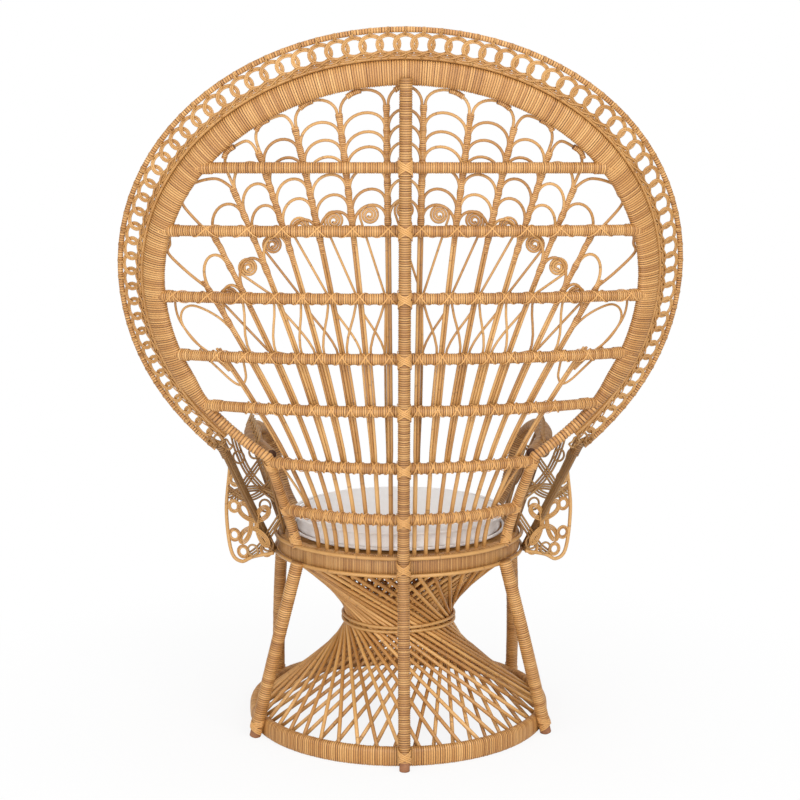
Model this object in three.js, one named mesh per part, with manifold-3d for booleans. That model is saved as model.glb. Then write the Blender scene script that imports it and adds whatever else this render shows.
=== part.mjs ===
// A peacock chair of wrapped rattan poles and bent canes with a loose round seat cushion.
// Millimetres, +Z up. The sitter faces -Y, so the sitter's left is +X.
import * as THREE from 'three';
import Module from 'manifold-3d';

const wasm = await Module();
wasm.setup();

// Clearances: between pieces that touch, under a lashing, behind the seat bead and beside the base ring
const GAP = 0.3;
const LASHING = 1.5;
const SPINE_CLEARANCE = 0.5;
const FOOT_CLEARANCE = 1;

// Base ring and twisted cage
const BASE_RADIUS = 328;
const BASE_THICK = 20;
const BASE_HEIGHT = 40;
const CAGE_SECTORS = 3;
const ROD_STAGGER = 0.5;
const CAGE_SECTOR_RODS = 10;
const CAGE_ROD_COUNT = CAGE_SECTORS * CAGE_SECTOR_RODS;
const CAGE_ROD_RADIUS = 3.9;
const CAGE_WAIST_RADIUS = 114;
const CAGE_FOOT_HEIGHT = 18;
const CAGE_LAYER = 11;
const CAGE_HOOP_RADIUS = 6.5;
const CAGE_HEAD_THICK = 12;
const OUTER_HEAD_HEIGHT = 22;
const INNER_HEAD_HEIGHT = 12;
const WAIST_BAND_RADIUS = 3.5;
const WAIST_BAND_SPREAD = 6;

// Seat ring, beads, deck, bars and cushion
const SEAT_RADIUS = 264;
const SEAT_RING_THICK = 26;
const SEAT_RING_BOTTOM = 376;
const SEAT_RING_TOP = 420;
const BEAD_RADIUS = 4;
const DECK_THICK = 8;
const DECK_DROP = 7;
const SEAT_BAR_RADIUS = 8;
const SEAT_BAR_SPACING = 180;
const CUSHION_CLEARANCE = 7;
const CUSHION_EDGE = 40;
const CUSHION_CROWN = 16;
const CUSHION_PIPING = 4;
const CUSHION_WAIST = 5;
const CROWN_SHOULDER_REACH = 0.8;
const CROWN_SHOULDER_RISE = 0.5;
const CROWN_TOP_REACH = 0.5;
const CROWN_TOP_RISE = 0.9;

// Legs
const LEG_RADIUS = 13;
const REAR_LEG_TOP_ANGLE = 39;
const REAR_LEG_FOOT_ANGLE = 25;
const FRONT_LEG_TOP_ANGLE = -22;
const FRONT_LEG_FOOT_ANGLE = -37;

// Spine pole: a straight lower run and a straight upper run joined by a soft knee at the seat
const SPINE_RADIUS = 11.5;
const SPINE_TOP_DROP = 11;
const SPINE_KNEE_SOFTNESS = 60;
const SPINE_LEAN_MEAN = -0.03;
const SPINE_LEAN_SWING = 0.15;

// Back surface: round like the seat at the bottom, nearly flat with drawn-in edges above
const BACK_FADE_HEIGHT = 190;
const BACK_FADE_POWER = 2;
const BACK_EDGE_SAG = 40;
const BACK_EDGE_REACH = 460;
const BACK_EDGE_POWER = 3.5;
const ROUND_LIMIT = 0.98;
const SLOPE_STEP = 1;

// Back hoop and its lower posts
const HOOP_HALF_WIDTH = 490;
const HOOP_CENTRE_HEIGHT = 967;
const HOOP_RISE = 401;
const HOOP_FALL = 425;
const HOOP_BAND = 47;
const HOOP_THICK = 22;
const HOOP_END_ANGLE = 126;
const POST_KNEE_ANGLE = 146.5;
const POST_RADIUS = 11;
const POST_FOOT_OFFSET = 217;
const POST_OVERLAP_ANGLE = 2;

// Border round the hoop
const BORDER_INNER_ROD_RADIUS = 4;
const BORDER_OUTER_ROD_RADIUS = 5.5;
const BORDER_CHAIN_WIDTH = 40;
const BORDER_CHAIN_THICK = 6;
const BORDER_CHAIN_PITCH = 32;
const CHAIN_TIE = 0.7;
const BORDER_HOLE_WIDTH = 20;
const BORDER_HOLE_HEIGHT = 27;
const BORDER_END_ANGLE = 135;
const TAIL_BAND = 28;
const TAIL_THICK = 10;
const TAIL_FOOT_ANGLE = 8;
const TAIL_TILT = 0.6;

// Cross rails, from the top down
const RAIL_RADIUS = 9.5;
const RAIL_HEIGHTS = [1194, 1074, 944, 825, 720, 603, 496];

// Fan of spokes, arches and scrolls
const SPOKE_COUNT = 8;
const SPOKE_THICK = 9;
const SPOKE_WIDTH = 10;
const SPOKE_BUNDLE = 17;
const SPOKE_BUNDLE_HEIGHT = 770;
const SPOKE_BUNDLE_SPREAD = 130;
const SPOKE_PITCH = 25;
const FAN_OPENING = 55;
const FAN_HEIGHT = 777;
const FAN_POWER = 1.45;
const FAN_MIDDLE_RANK = 0.85;
const FAN_OUTER_RANK = 5;
const FAN_OUTER_GAIN = 0.067;
const SPOKE_TOP_DROP = 34;
const ARCH_RADIUS = 3.2;
const ARCH_PITCH = 37;
const ARCH_RISE = 34;
const ARCH_COUNTS = [5, 6, 6, 5, 4, 2, 2];
const SCROLL_ROD_RADIUS = 2.4;
const SCROLL_INNER = 5;
const SCROLL_OUTER = 17;
const SCROLL_TURNS = 1.6;
const SCROLL_HEIGHTS = [1112, 1103, 1092, 1080, 1045, 1000, 960];
const SCROLL_TAIL_DROP = 130;

// Arms
const ARM_RAIL_RADIUS = 11;
const ARM_HEIGHT = 624;
const ARM_HALF_SPAN = 312;
const ARM_FRONT = -203;
const ARM_FOOT_ANGLE = -31;
const ARM_REAR_SHARE = 0.4;
const ARM_FRONT_SHARE = 0.2;
const ARM_BEND_DROP = 0.25;
const ARM_BEND_LEAN = 0.75;
const ARM_SHIN_RISE = 0.25;
const ARM_SHIN_LEAN = 0.4;
const ARM_SHIN_RUN = 0.03;
const ARM_CANE_RADIUS = 3;
const LATTICE_BAYS = 4;
const LATTICE_START = 0.12;
const LATTICE_FRONT = -130;
const LATTICE_FOOT_ANGLE = 22;

// Wing outside each arm
const ARM_RIM_RADIUS = 4;
const WING_DEPTH = 85;
const WING_SLOPE = 0.45;
const WING_REACH = 362;
const WING_BELLY = 9;
const WING_TOP = 580;
const WING_BOTTOM = 358;
const WING_CORNER = 22;
const WING_DIP = 0.6;
const FLOWER_LOOP = 17;
const FLOWER_SPREAD = 18.5;
const FLOWER_OFFSET = 308;
const FLOWER_HEIGHT = 443;

// Fineness: sides of a pole and of a thin rod, parts of a full turn, and steps along each bent piece
const POLE_SIDES = 6;
const ROD_SIDES = 4;
const TURN_PARTS = 32;
const LOOP_PARTS = 8;
const SCROLL_PARTS = 7;
const SCROLL_TAIL_STEPS = 3;
const SPINE_STEPS = 16;
const HOOP_STEPS = 38;
const HOOP_MEASURE_STEPS = 320;
const POST_STEPS = 4;
const TAIL_STEPS = 6;
const RAIL_STEPS = 12;
const SPOKE_STEPS = 10;
const SPOKE_SEARCH_STEPS = 200;
const ARCH_STEPS = 4;
const ARM_STEPS = 15;
const RIM_STEPS = 18;

const CANE_LOOK = { color: 0xc69a62, roughness: 0.6, metalness: 0 };
const WRAP_LOOK = { color: 0xd2a468, roughness: 0.55, metalness: 0 };
const CLOTH_LOOK = { color: 0xece7e4, roughness: 0.9, metalness: 0 };

// Solids from rings of points, from turned profiles and from plain boxes
function solidOf(positions, triangles) {
  const mesh = new wasm.Mesh({
    numProp: 3,
    vertProperties: new Float32Array(positions),
    triVerts: new Uint32Array(triangles),
  });
  return new wasm.Manifold(mesh);
}

function sweptRings(rings, endless = false) {
  const count = rings[0].length;
  const positions = rings.flat().flatMap((place) => [place.x, place.y, place.z]);
  const triangles = [];
  const spans = endless ? rings.length : rings.length - 1;
  for (let ring = 0; ring < spans; ring += 1) {
    for (let side = 0; side < count; side += 1) {
      const next = (side + 1) % count;
      const here = ring * count;
      const there = ((ring + 1) % rings.length) * count;
      triangles.push(here + side, here + next, there + next);
      triangles.push(here + side, there + next, there + side);
    }
  }
  const last = (rings.length - 1) * count;
  for (let side = 1; side + 1 < count && !endless; side += 1) {
    triangles.push(0, side + 1, side);
    triangles.push(last, last + side, last + side + 1);
  }
  return solidOf(positions, triangles);
}

function turned(profile, parts) {
  const positions = [];
  const triangles = [];
  const starts = profile.map(([radius, height]) => {
    const start = positions.length / 3;
    const copies = radius > 0 ? parts : 1;
    for (let part = 0; part < copies; part += 1) {
      const angle = (2 * Math.PI * part) / parts;
      positions.push(radius * Math.cos(angle), radius * Math.sin(angle), height);
    }
    return { start, single: copies === 1 };
  });
  const closed = !starts[0].single;
  const spans = closed ? profile.length : profile.length - 1;
  for (let span = 0; span < spans; span += 1) {
    const low = starts[span];
    const high = starts[(span + 1) % profile.length];
    for (let part = 0; part < parts; part += 1) {
      const next = (part + 1) % parts;
      const lowHere = low.start + (low.single ? 0 : part);
      const lowNext = low.start + (low.single ? 0 : next);
      const highHere = high.start + (high.single ? 0 : part);
      const highNext = high.start + (high.single ? 0 : next);
      if (!low.single) triangles.push(lowHere, lowNext, highHere);
      if (!high.single) triangles.push(lowNext, highNext, highHere);
    }
  }
  return solidOf(positions, triangles);
}

const roundSection = (radius, sides) => Array.from({ length: sides }, (_, side) => {
  const angle = (2 * Math.PI * side) / sides;
  return [radius * Math.cos(angle), radius * Math.sin(angle)];
});

const barSection = (thick, width) => [
  [-thick / 2, -width / 2],
  [thick / 2, -width / 2],
  [thick / 2, width / 2],
  [-thick / 2, width / 2],
];

const hoopOf = (radius, height, tube, sides) => turned(
  roundSection(tube, sides).map(([out, up]) => [radius + out, height + up]),
  TURN_PARTS,
);

function tangentAt(points, index) {
  const before = points[Math.max(index - 1, 0)];
  const after = points[Math.min(index + 1, points.length - 1)];
  return after.clone().sub(before).normalize();
}

// A bar or rod along points: section axis one follows the guide, axis two lies across it
function tube(points, guides, sectionAt) {
  const rings = points.map((point, index) => {
    const along = tangentAt(points, index);
    const guide = Array.isArray(guides) ? guides[index] : guides;
    const first = guide.clone().addScaledVector(along, -guide.dot(along)).normalize();
    const second = along.clone().cross(first);
    const section = typeof sectionAt === 'function' ? sectionAt(index) : sectionAt;
    return section.map(([one, two]) => point.clone()
      .addScaledVector(first, one)
      .addScaledVector(second, two));
  });
  return sweptRings(rings);
}

const point = (x, y, z) => new THREE.Vector3(x, y, z);
const SIDEWAYS = point(1, 0, 0);
const UPRIGHT = point(0, 0, 1);
const BACKWARD = point(0, 1, 0);
const radians = (degrees) => (degrees * Math.PI) / 180;
const polar = (radius, degrees, height) => point(
  radius * Math.cos(radians(degrees)),
  radius * Math.sin(radians(degrees)),
  height,
);
const spread = (from, to, steps) => Array.from(
  { length: steps + 1 },
  (_, step) => from + ((to - from) * step) / steps,
);
const smooth = (corners, steps) => new THREE.CatmullRomCurve3(corners, false, 'centripetal')
  .getPoints(steps);
const joined = (shapes) => shapes.reduce((whole, shape) => whole.add(shape));
const trimmed = (shape, cutters) => cutters.reduce((rest, cutter) => rest.subtract(cutter), shape);
function largest(shape) {
  const bodies = shape.decompose();
  return bodies.reduce((best, body) => (body.volume() > best.volume() ? body : best));
}

// Back surface
const SPINE_KNEE_DEPTH = SEAT_RADIUS + GAP + 2 * BEAD_RADIUS + SPINE_CLEARANCE + SPINE_RADIUS;
const SPINE_KNEE_HEIGHT = (SEAT_RING_BOTTOM + SEAT_RING_TOP) / 2;
function spineDepth(z) {
  const rise = z - SPINE_KNEE_HEIGHT;
  const bend = Math.hypot(rise, SPINE_KNEE_SOFTNESS) - SPINE_KNEE_SOFTNESS;
  return SPINE_KNEE_DEPTH + SPINE_LEAN_MEAN * rise + SPINE_LEAN_SWING * bend;
}

const RAIL_TO_SPINE = RAIL_RADIUS + GAP + SPINE_RADIUS;
const SEAT_CURVE = 1 / (SPINE_KNEE_DEPTH - RAIL_TO_SPINE);
function backDepth(x, z) {
  const climb = Math.max(z - SEAT_RING_TOP, 0) / BACK_FADE_HEIGHT;
  const fade = 1 / (1 + climb ** BACK_FADE_POWER);
  const radius = 1 / (SEAT_CURVE * fade);
  const inside = Math.min(Math.abs(x), ROUND_LIMIT * radius);
  const roundSag = radius - Math.sqrt(radius * radius - inside * inside);
  const edge = (Math.abs(x) / BACK_EDGE_REACH) ** BACK_EDGE_POWER;
  return spineDepth(z) - RAIL_TO_SPINE - roundSag - BACK_EDGE_SAG * (1 - fade) * edge;
}

function backNormal(x, z) {
  const acrossX = backDepth(x + SLOPE_STEP, z) - backDepth(x - SLOPE_STEP, z);
  const acrossZ = backDepth(x, z + SLOPE_STEP) - backDepth(x, z - SLOPE_STEP);
  return point(-acrossX, 2 * SLOPE_STEP, -acrossZ).normalize();
}

const backPoint = (x, z, offset) => point(x, backDepth(x, z), z)
  .addScaledVector(backNormal(x, z), offset);

function backTube(chart, offset, sectionAt) {
  const points = chart.map(([x, z]) => backPoint(x, z, offset));
  const guides = chart.map(([x, z]) => backNormal(x, z));
  return tube(points, guides, sectionAt);
}

// Hoop line, measured as an angle from the top
function hoopChart(degrees) {
  const lift = Math.cos(radians(degrees));
  const reach = lift > 0 ? HOOP_RISE : HOOP_FALL;
  return [HOOP_HALF_WIDTH * Math.sin(radians(degrees)), HOOP_CENTRE_HEIGHT + reach * lift];
}

function hoopHalfWidthAt(z) {
  const reach = z > HOOP_CENTRE_HEIGHT ? HOOP_RISE : HOOP_FALL;
  const lift = (z - HOOP_CENTRE_HEIGHT) / reach;
  return HOOP_HALF_WIDTH * Math.sqrt(Math.max(1 - lift * lift, 0));
}

function hoopInnerTopAt(x) {
  const span = Math.min(Math.abs(x) / (HOOP_HALF_WIDTH - HOOP_BAND / 2), ROUND_LIMIT);
  return HOOP_CENTRE_HEIGHT + (HOOP_RISE - HOOP_BAND / 2) * Math.sqrt(1 - span * span);
}

// Frames along the hoop line: place, direction, face and outward side
function hoopFrames(angles) {
  const charts = angles.map(hoopChart);
  const places = charts.map(([x, z]) => backPoint(x, z, 0));
  return places.map((place, index) => {
    const along = tangentAt(places, index);
    const [x, z] = charts[index];
    const normal = backNormal(x, z);
    const face = normal.addScaledVector(along, -normal.dot(along)).normalize();
    const outward = along.clone().cross(face);
    return { place, along, face, outward };
  });
}

const besideHoop = (frames, distance) => frames.map(({ place, outward }) => (
  place.clone().addScaledVector(outward, distance)
));

function hoopTube(frames, distance, section) {
  const points = besideHoop(frames, distance);
  return tube(points, frames.map(({ face }) => face), section);
}

const chair = new THREE.Group();
const whole = new THREE.Group();
chair.add(whole);
function node(name, shape, look) {
  const mesh = largest(shape).getMesh();
  const geometry = new THREE.BufferGeometry();
  geometry.setAttribute('position', new THREE.BufferAttribute(mesh.vertProperties, 3));
  geometry.setIndex(new THREE.BufferAttribute(mesh.triVerts, 1));
  geometry.computeVertexNormals();
  const piece = new THREE.Mesh(geometry, new THREE.MeshStandardMaterial(look));
  piece.name = name;
  whole.add(piece);
}

const SIDES = [['left', 1], ['right', -1]];

// Base ring, a tall wrapped band that stands on the floor
const BASE_INNER = BASE_RADIUS - BASE_THICK;
const baseRing = (grow) => turned([
  [BASE_INNER - grow, -grow],
  [BASE_RADIUS + grow, -grow],
  [BASE_RADIUS + grow, BASE_HEIGHT + grow],
  [BASE_INNER - grow, BASE_HEIGHT + grow],
], TURN_PARTS);
node('base_ring', baseRing(0), WRAP_LOOK);

// Cage: two layers of straight rods twisted opposite ways. Each layer is made of three panels,
// whose rods are nailed to a bent band at the head, and in the inner layer to a bent cane at the foot.
const rodTurn = (index, hand) => (2 * Math.PI * (index + (hand > 0 ? 0 : ROD_STAGGER))) / CAGE_ROD_COUNT;
function cageRod(index, waist, footRadius, footHeight, headRadius, headHeight, hand) {
  const footRun = Math.sqrt(footRadius ** 2 - waist ** 2);
  const headRun = Math.sqrt(headRadius ** 2 - waist ** 2);
  const turn = rodTurn(index, hand);
  const place = (distance, height) => point(
    waist * Math.cos(turn) - hand * distance * Math.sin(turn),
    waist * Math.sin(turn) + hand * distance * Math.cos(turn),
    height,
  );
  const ends = [place(-footRun, footHeight), place(headRun, headHeight)];
  return tube(ends, UPRIGHT, roundSection(CAGE_ROD_RADIUS, ROD_SIDES));
}

// The stretch of a round band that one panel's rods meet, cut just short of the next panel's
function panelArc(band, panel, waist, radius, hand, lean) {
  const lead = lean * hand * Math.acos(waist / radius);
  const from = rodTurn(panel * CAGE_SECTOR_RODS - ROD_STAGGER, hand) + lead;
  const short = GAP / radius / 2;
  const angles = spread(from + short, from + (2 * Math.PI) / CAGE_SECTORS - short, CAGE_SECTORS);
  const outline = (height) => [
    point(0, 0, height),
    ...angles.map((angle) => point(2 * radius * Math.cos(angle), 2 * radius * Math.sin(angle), height)),
  ];
  return band.intersect(sweptRings([outline(-radius), outline(2 * radius)]));
}

const CAGE_TOP = SEAT_RING_BOTTOM - GAP;
const cageHead = (radius, height, grow) => turned([
  [radius - CAGE_HEAD_THICK / 2 - grow, CAGE_TOP - height - grow],
  [radius + CAGE_HEAD_THICK / 2 + grow, CAGE_TOP - height - grow],
  [radius + CAGE_HEAD_THICK / 2 + grow, CAGE_TOP + grow],
  [radius - CAGE_HEAD_THICK / 2 - grow, CAGE_TOP + grow],
], TURN_PARTS);
const OUTER_HEAD = SEAT_RADIUS - CAGE_HEAD_THICK / 2;
const INNER_HEAD = OUTER_HEAD - CAGE_HEAD_THICK - 2 * GAP;
const OUTER_FOOT = BASE_RADIUS - BASE_THICK / 2;
const INNER_FOOT = BASE_INNER - GAP - CAGE_HOOP_RADIUS;
const INNER_FOOT_HEIGHT = 2 * CAGE_HOOP_RADIUS;
const OUTER_ROD_TOP = CAGE_TOP - INNER_HEAD_HEIGHT - GAP;
const INNER_ROD_TOP = CAGE_TOP - INNER_HEAD_HEIGHT / 2;
const outerBand = (grow) => cageHead(OUTER_HEAD, OUTER_HEAD_HEIGHT, grow);
const innerBand = cageHead(INNER_HEAD, INNER_HEAD_HEIGHT, 0);
const innerHoop = hoopOf(INNER_FOOT, INNER_FOOT_HEIGHT, CAGE_HOOP_RADIUS, ROD_SIDES);
const INNER_WAIST = CAGE_WAIST_RADIUS - CAGE_LAYER;
spread(0, CAGE_SECTORS - 1, CAGE_SECTORS - 1).forEach((panel) => {
  const first = panel * CAGE_SECTOR_RODS;
  const rods = spread(first, first + CAGE_SECTOR_RODS - 1, CAGE_SECTOR_RODS - 1);
  const outer = joined([
    panelArc(outerBand(0), panel, CAGE_WAIST_RADIUS, OUTER_HEAD, -1, 1),
    ...rods.map((rod) => cageRod(
      rod, CAGE_WAIST_RADIUS, OUTER_FOOT, CAGE_FOOT_HEIGHT, OUTER_HEAD, OUTER_ROD_TOP, -1,
    )),
  ]);
  node(`cage_outer_panel_${panel + 1}`, trimmed(outer, [baseRing(GAP)]), CANE_LOOK);
  const inner = joined([
    panelArc(innerBand, panel, INNER_WAIST, INNER_HEAD, 1, 1),
    panelArc(innerHoop, panel, INNER_WAIST, INNER_FOOT, 1, -1),
    ...rods.map((rod) => cageRod(
      rod, INNER_WAIST, INNER_FOOT, INNER_FOOT_HEIGHT, INNER_HEAD, INNER_ROD_TOP, 1,
    )),
  ]);
  node(`cage_inner_panel_${panel + 1}`, inner, CANE_LOOK);
});

// Two thin bands tied round the waist of the cage
const TURN_FLAT = Math.cos(Math.PI / TURN_PARTS);
const CAGE_RUN = Math.sqrt(OUTER_FOOT ** 2 - CAGE_WAIST_RADIUS ** 2);
const CAGE_HEAD_RUN = Math.sqrt(OUTER_HEAD ** 2 - CAGE_WAIST_RADIUS ** 2);
const CAGE_SLOPE = (CAGE_RUN + CAGE_HEAD_RUN) / (OUTER_ROD_TOP - CAGE_FOOT_HEIGHT);
const CAGE_WAIST_HEIGHT = CAGE_FOOT_HEIGHT + CAGE_RUN / CAGE_SLOPE;
const WAIST_REACH = Math.hypot(CAGE_WAIST_RADIUS, CAGE_SLOPE * WAIST_BAND_SPREAD);
const WAIST_BAND = (WAIST_REACH + CAGE_ROD_RADIUS + GAP + WAIST_BAND_RADIUS) / TURN_FLAT;
[['upper', 1], ['lower', -1]].forEach(([name, way]) => {
  const height = CAGE_WAIST_HEIGHT + way * WAIST_BAND_SPREAD;
  node(`waist_band_${name}`, hoopOf(WAIST_BAND, height, WAIST_BAND_RADIUS, ROD_SIDES), CANE_LOOK);
});

// Seat ring with a bead above and below on its outer face
const SEAT_INNER = SEAT_RADIUS - SEAT_RING_THICK;
const seatRing = (grow) => turned([
  [SEAT_INNER - grow, SEAT_RING_BOTTOM - grow],
  [SEAT_RADIUS + grow, SEAT_RING_BOTTOM - grow],
  [SEAT_RADIUS + grow, SEAT_RING_TOP + grow],
  [SEAT_INNER - grow, SEAT_RING_TOP + grow],
], TURN_PARTS);
node('seat_ring', seatRing(0), WRAP_LOOK);
const BEAD_LINE = SEAT_RADIUS + GAP + BEAD_RADIUS;
const bead = (height, grow) => hoopOf(BEAD_LINE, height, BEAD_RADIUS + grow, ROD_SIDES);
const UPPER_BEAD = SEAT_RING_TOP - BEAD_RADIUS;
const LOWER_BEAD = SEAT_RING_BOTTOM + BEAD_RADIUS;
node('seat_bead_upper', bead(UPPER_BEAD, 0), CANE_LOOK);
node('seat_bead_lower', bead(LOWER_BEAD, 0), CANE_LOOK);

// Woven deck carried by two bars inside the seat ring
const DECK_TOP = SEAT_RING_TOP - DECK_DROP;
const DECK_BOTTOM = DECK_TOP - DECK_THICK;
const DECK_RADIUS = SEAT_INNER - GAP;
node('seat_deck', turned([
  [0, DECK_BOTTOM],
  [DECK_RADIUS, DECK_BOTTOM],
  [DECK_RADIUS, DECK_TOP],
  [0, DECK_TOP],
], TURN_PARTS), CANE_LOOK);
[['front', -1], ['rear', 1]].forEach(([name, way]) => {
  const depth = (way * SEAT_BAR_SPACING) / 2;
  const height = DECK_BOTTOM - GAP - SEAT_BAR_RADIUS;
  const reach = Math.sqrt(SEAT_RADIUS ** 2 - depth ** 2) - SEAT_RING_THICK / 2;
  const line = [point(-reach, depth, height), point(reach, depth, height)];
  const bar = tube(line, UPRIGHT, roundSection(SEAT_BAR_RADIUS, POLE_SIDES));
  node(`seat_bar_${name}`, trimmed(bar, [seatRing(GAP)]), CANE_LOOK);
});

// Loose cushion with a crown, two piped edges and drawn-in sides
const CUSHION_RADIUS = SEAT_INNER - CUSHION_CLEARANCE;
const CUSHION_BOTTOM = DECK_TOP + GAP;
const CUSHION_SHOULDER = CUSHION_BOTTOM + CUSHION_EDGE;
const CUSHION_INNER = CUSHION_RADIUS - 2 * CUSHION_PIPING;
node('seat_cushion', turned([
  [0, CUSHION_BOTTOM],
  [CUSHION_INNER, CUSHION_BOTTOM],
  [CUSHION_RADIUS, CUSHION_BOTTOM + CUSHION_PIPING],
  [CUSHION_RADIUS, CUSHION_BOTTOM + 2 * CUSHION_PIPING],
  [CUSHION_RADIUS - CUSHION_WAIST, CUSHION_BOTTOM + 3 * CUSHION_PIPING],
  [CUSHION_RADIUS - CUSHION_WAIST, CUSHION_SHOULDER - 3 * CUSHION_PIPING],
  [CUSHION_RADIUS, CUSHION_SHOULDER - 2 * CUSHION_PIPING],
  [CUSHION_RADIUS, CUSHION_SHOULDER - CUSHION_PIPING],
  [CUSHION_INNER, CUSHION_SHOULDER],
  [CROWN_SHOULDER_REACH * CUSHION_RADIUS, CUSHION_SHOULDER + CROWN_SHOULDER_RISE * CUSHION_CROWN],
  [CROWN_TOP_REACH * CUSHION_RADIUS, CUSHION_SHOULDER + CROWN_TOP_RISE * CUSHION_CROWN],
  [0, CUSHION_SHOULDER + CUSHION_CROWN],
], TURN_PARTS), CLOTH_LOOK);

// Floor cut that leaves every foot flat
const FLOOR_REACH = 2 * BASE_RADIUS;
const floorBlock = tube(
  [point(0, 0, -FLOOR_REACH), point(0, 0, 0)],
  SIDEWAYS,
  barSection(2 * FLOOR_REACH, 2 * FLOOR_REACH),
);
const FOOT_LINE = BASE_RADIUS + GAP + FOOT_CLEARANCE;

// Four legs from under the lower bead to the floor outside the base ring
const legTop = (angle) => polar(SEAT_RADIUS + LEG_RADIUS, angle, SEAT_RING_BOTTOM);
const legFoot = (angle) => polar(FOOT_LINE + LEG_RADIUS, angle, 0);
function leg(side, topAngle, footAngle) {
  const top = legTop(topAngle);
  const foot = legFoot(footAngle);
  const along = top.clone().sub(foot).normalize();
  const line = [foot.clone().addScaledVector(along, -2 * LEG_RADIUS), top];
  line.forEach((place) => place.setX(place.x * side));
  const pole = tube(line, BACKWARD, roundSection(LEG_RADIUS, POLE_SIDES));
  const cutters = [floorBlock, baseRing(GAP), seatRing(GAP), bead(LOWER_BEAD, GAP)];
  return trimmed(pole, [...cutters, outerBand(GAP)]);
}
SIDES.forEach(([name, side]) => {
  node(`rear_leg_${name}`, leg(side, REAR_LEG_TOP_ANGLE, REAR_LEG_FOOT_ANGLE), WRAP_LOOK);
  node(`front_leg_${name}`, leg(side, FRONT_LEG_TOP_ANGLE, FRONT_LEG_FOOT_ANGLE), WRAP_LOOK);
});

// Spine pole behind everything, from the floor to the hoop
const SPINE_TOP = HOOP_CENTRE_HEIGHT + HOOP_RISE - SPINE_TOP_DROP;
const spineLine = spread(-2 * SPINE_RADIUS, SPINE_TOP, SPINE_STEPS)
  .map((z) => point(0, spineDepth(z), z));
const spine = tube(spineLine, BACKWARD, roundSection(SPINE_RADIUS, POLE_SIDES));

// Back hoop and the posts that carry it down to the seat
const hoopAngles = spread(-HOOP_END_ANGLE, HOOP_END_ANGLE, HOOP_STEPS);
const hoopFrame = hoopFrames(hoopAngles);
const hoopSection = (grow) => barSection(HOOP_THICK + 2 * grow, HOOP_BAND + 2 * grow);
const hoop = hoopTube(hoopFrame, 0, hoopSection(0));
const hoopGrown = hoopTube(hoopFrame, 0, hoopSection(GAP));
node('back_hoop', hoop, WRAP_LOOK);
node('spine_post', trimmed(spine, [floorBlock, baseRing(GAP), hoopGrown]), WRAP_LOOK);

const POST_FOOT_HEIGHT = SEAT_RING_TOP;
const [kneeX, kneeZ] = hoopChart(POST_KNEE_ANGLE);
const POST_SLOPE = (kneeX - POST_FOOT_OFFSET) / (kneeZ - POST_FOOT_HEIGHT);
const postOffsetAt = (z) => (z > kneeZ
  ? hoopHalfWidthAt(z)
  : POST_FOOT_OFFSET + POST_SLOPE * (z - POST_FOOT_HEIGHT));
function post(side, grow) {
  const upper = spread(HOOP_END_ANGLE - POST_OVERLAP_ANGLE, POST_KNEE_ANGLE, POST_STEPS).map(hoopChart);
  const lower = spread(kneeZ, POST_FOOT_HEIGHT, POST_STEPS)
    .slice(1)
    .map((z) => [postOffsetAt(z), z]);
  const chart = [...upper, ...lower].map(([x, z]) => [side * x, z]);
  return backTube(chart, 0, roundSection(POST_RADIUS + grow, POLE_SIDES));
}
const seatCut = [seatRing(GAP), bead(UPPER_BEAD, GAP)];
SIDES.forEach(([name, side]) => {
  node(`back_post_${name}`, trimmed(post(side, 0), [hoopGrown, ...seatCut]), WRAP_LOOK);
});

// Border: an inner rod, a chain of interlocked rings and an outer rod, side by side on the hoop
const borderFrame = hoopFrames([-BORDER_END_ANGLE, ...hoopAngles, BORDER_END_ANGLE]);
const INNER_ROD_LINE = HOOP_BAND / 2 + GAP + BORDER_INNER_ROD_RADIUS;
const CHAIN_LINE = INNER_ROD_LINE + BORDER_INNER_ROD_RADIUS + CHAIN_TIE + BORDER_CHAIN_WIDTH / 2;
const OUTER_ROD_LINE = CHAIN_LINE + BORDER_CHAIN_WIDTH / 2 + GAP + BORDER_OUTER_ROD_RADIUS;
const postsGrown = [post(1, GAP), post(-1, GAP)];
const innerRodSection = roundSection(BORDER_INNER_ROD_RADIUS, ROD_SIDES);
const innerRod = hoopTube(borderFrame, INNER_ROD_LINE, innerRodSection);
node('border_inner_rod', trimmed(innerRod, postsGrown), CANE_LOOK);

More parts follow.
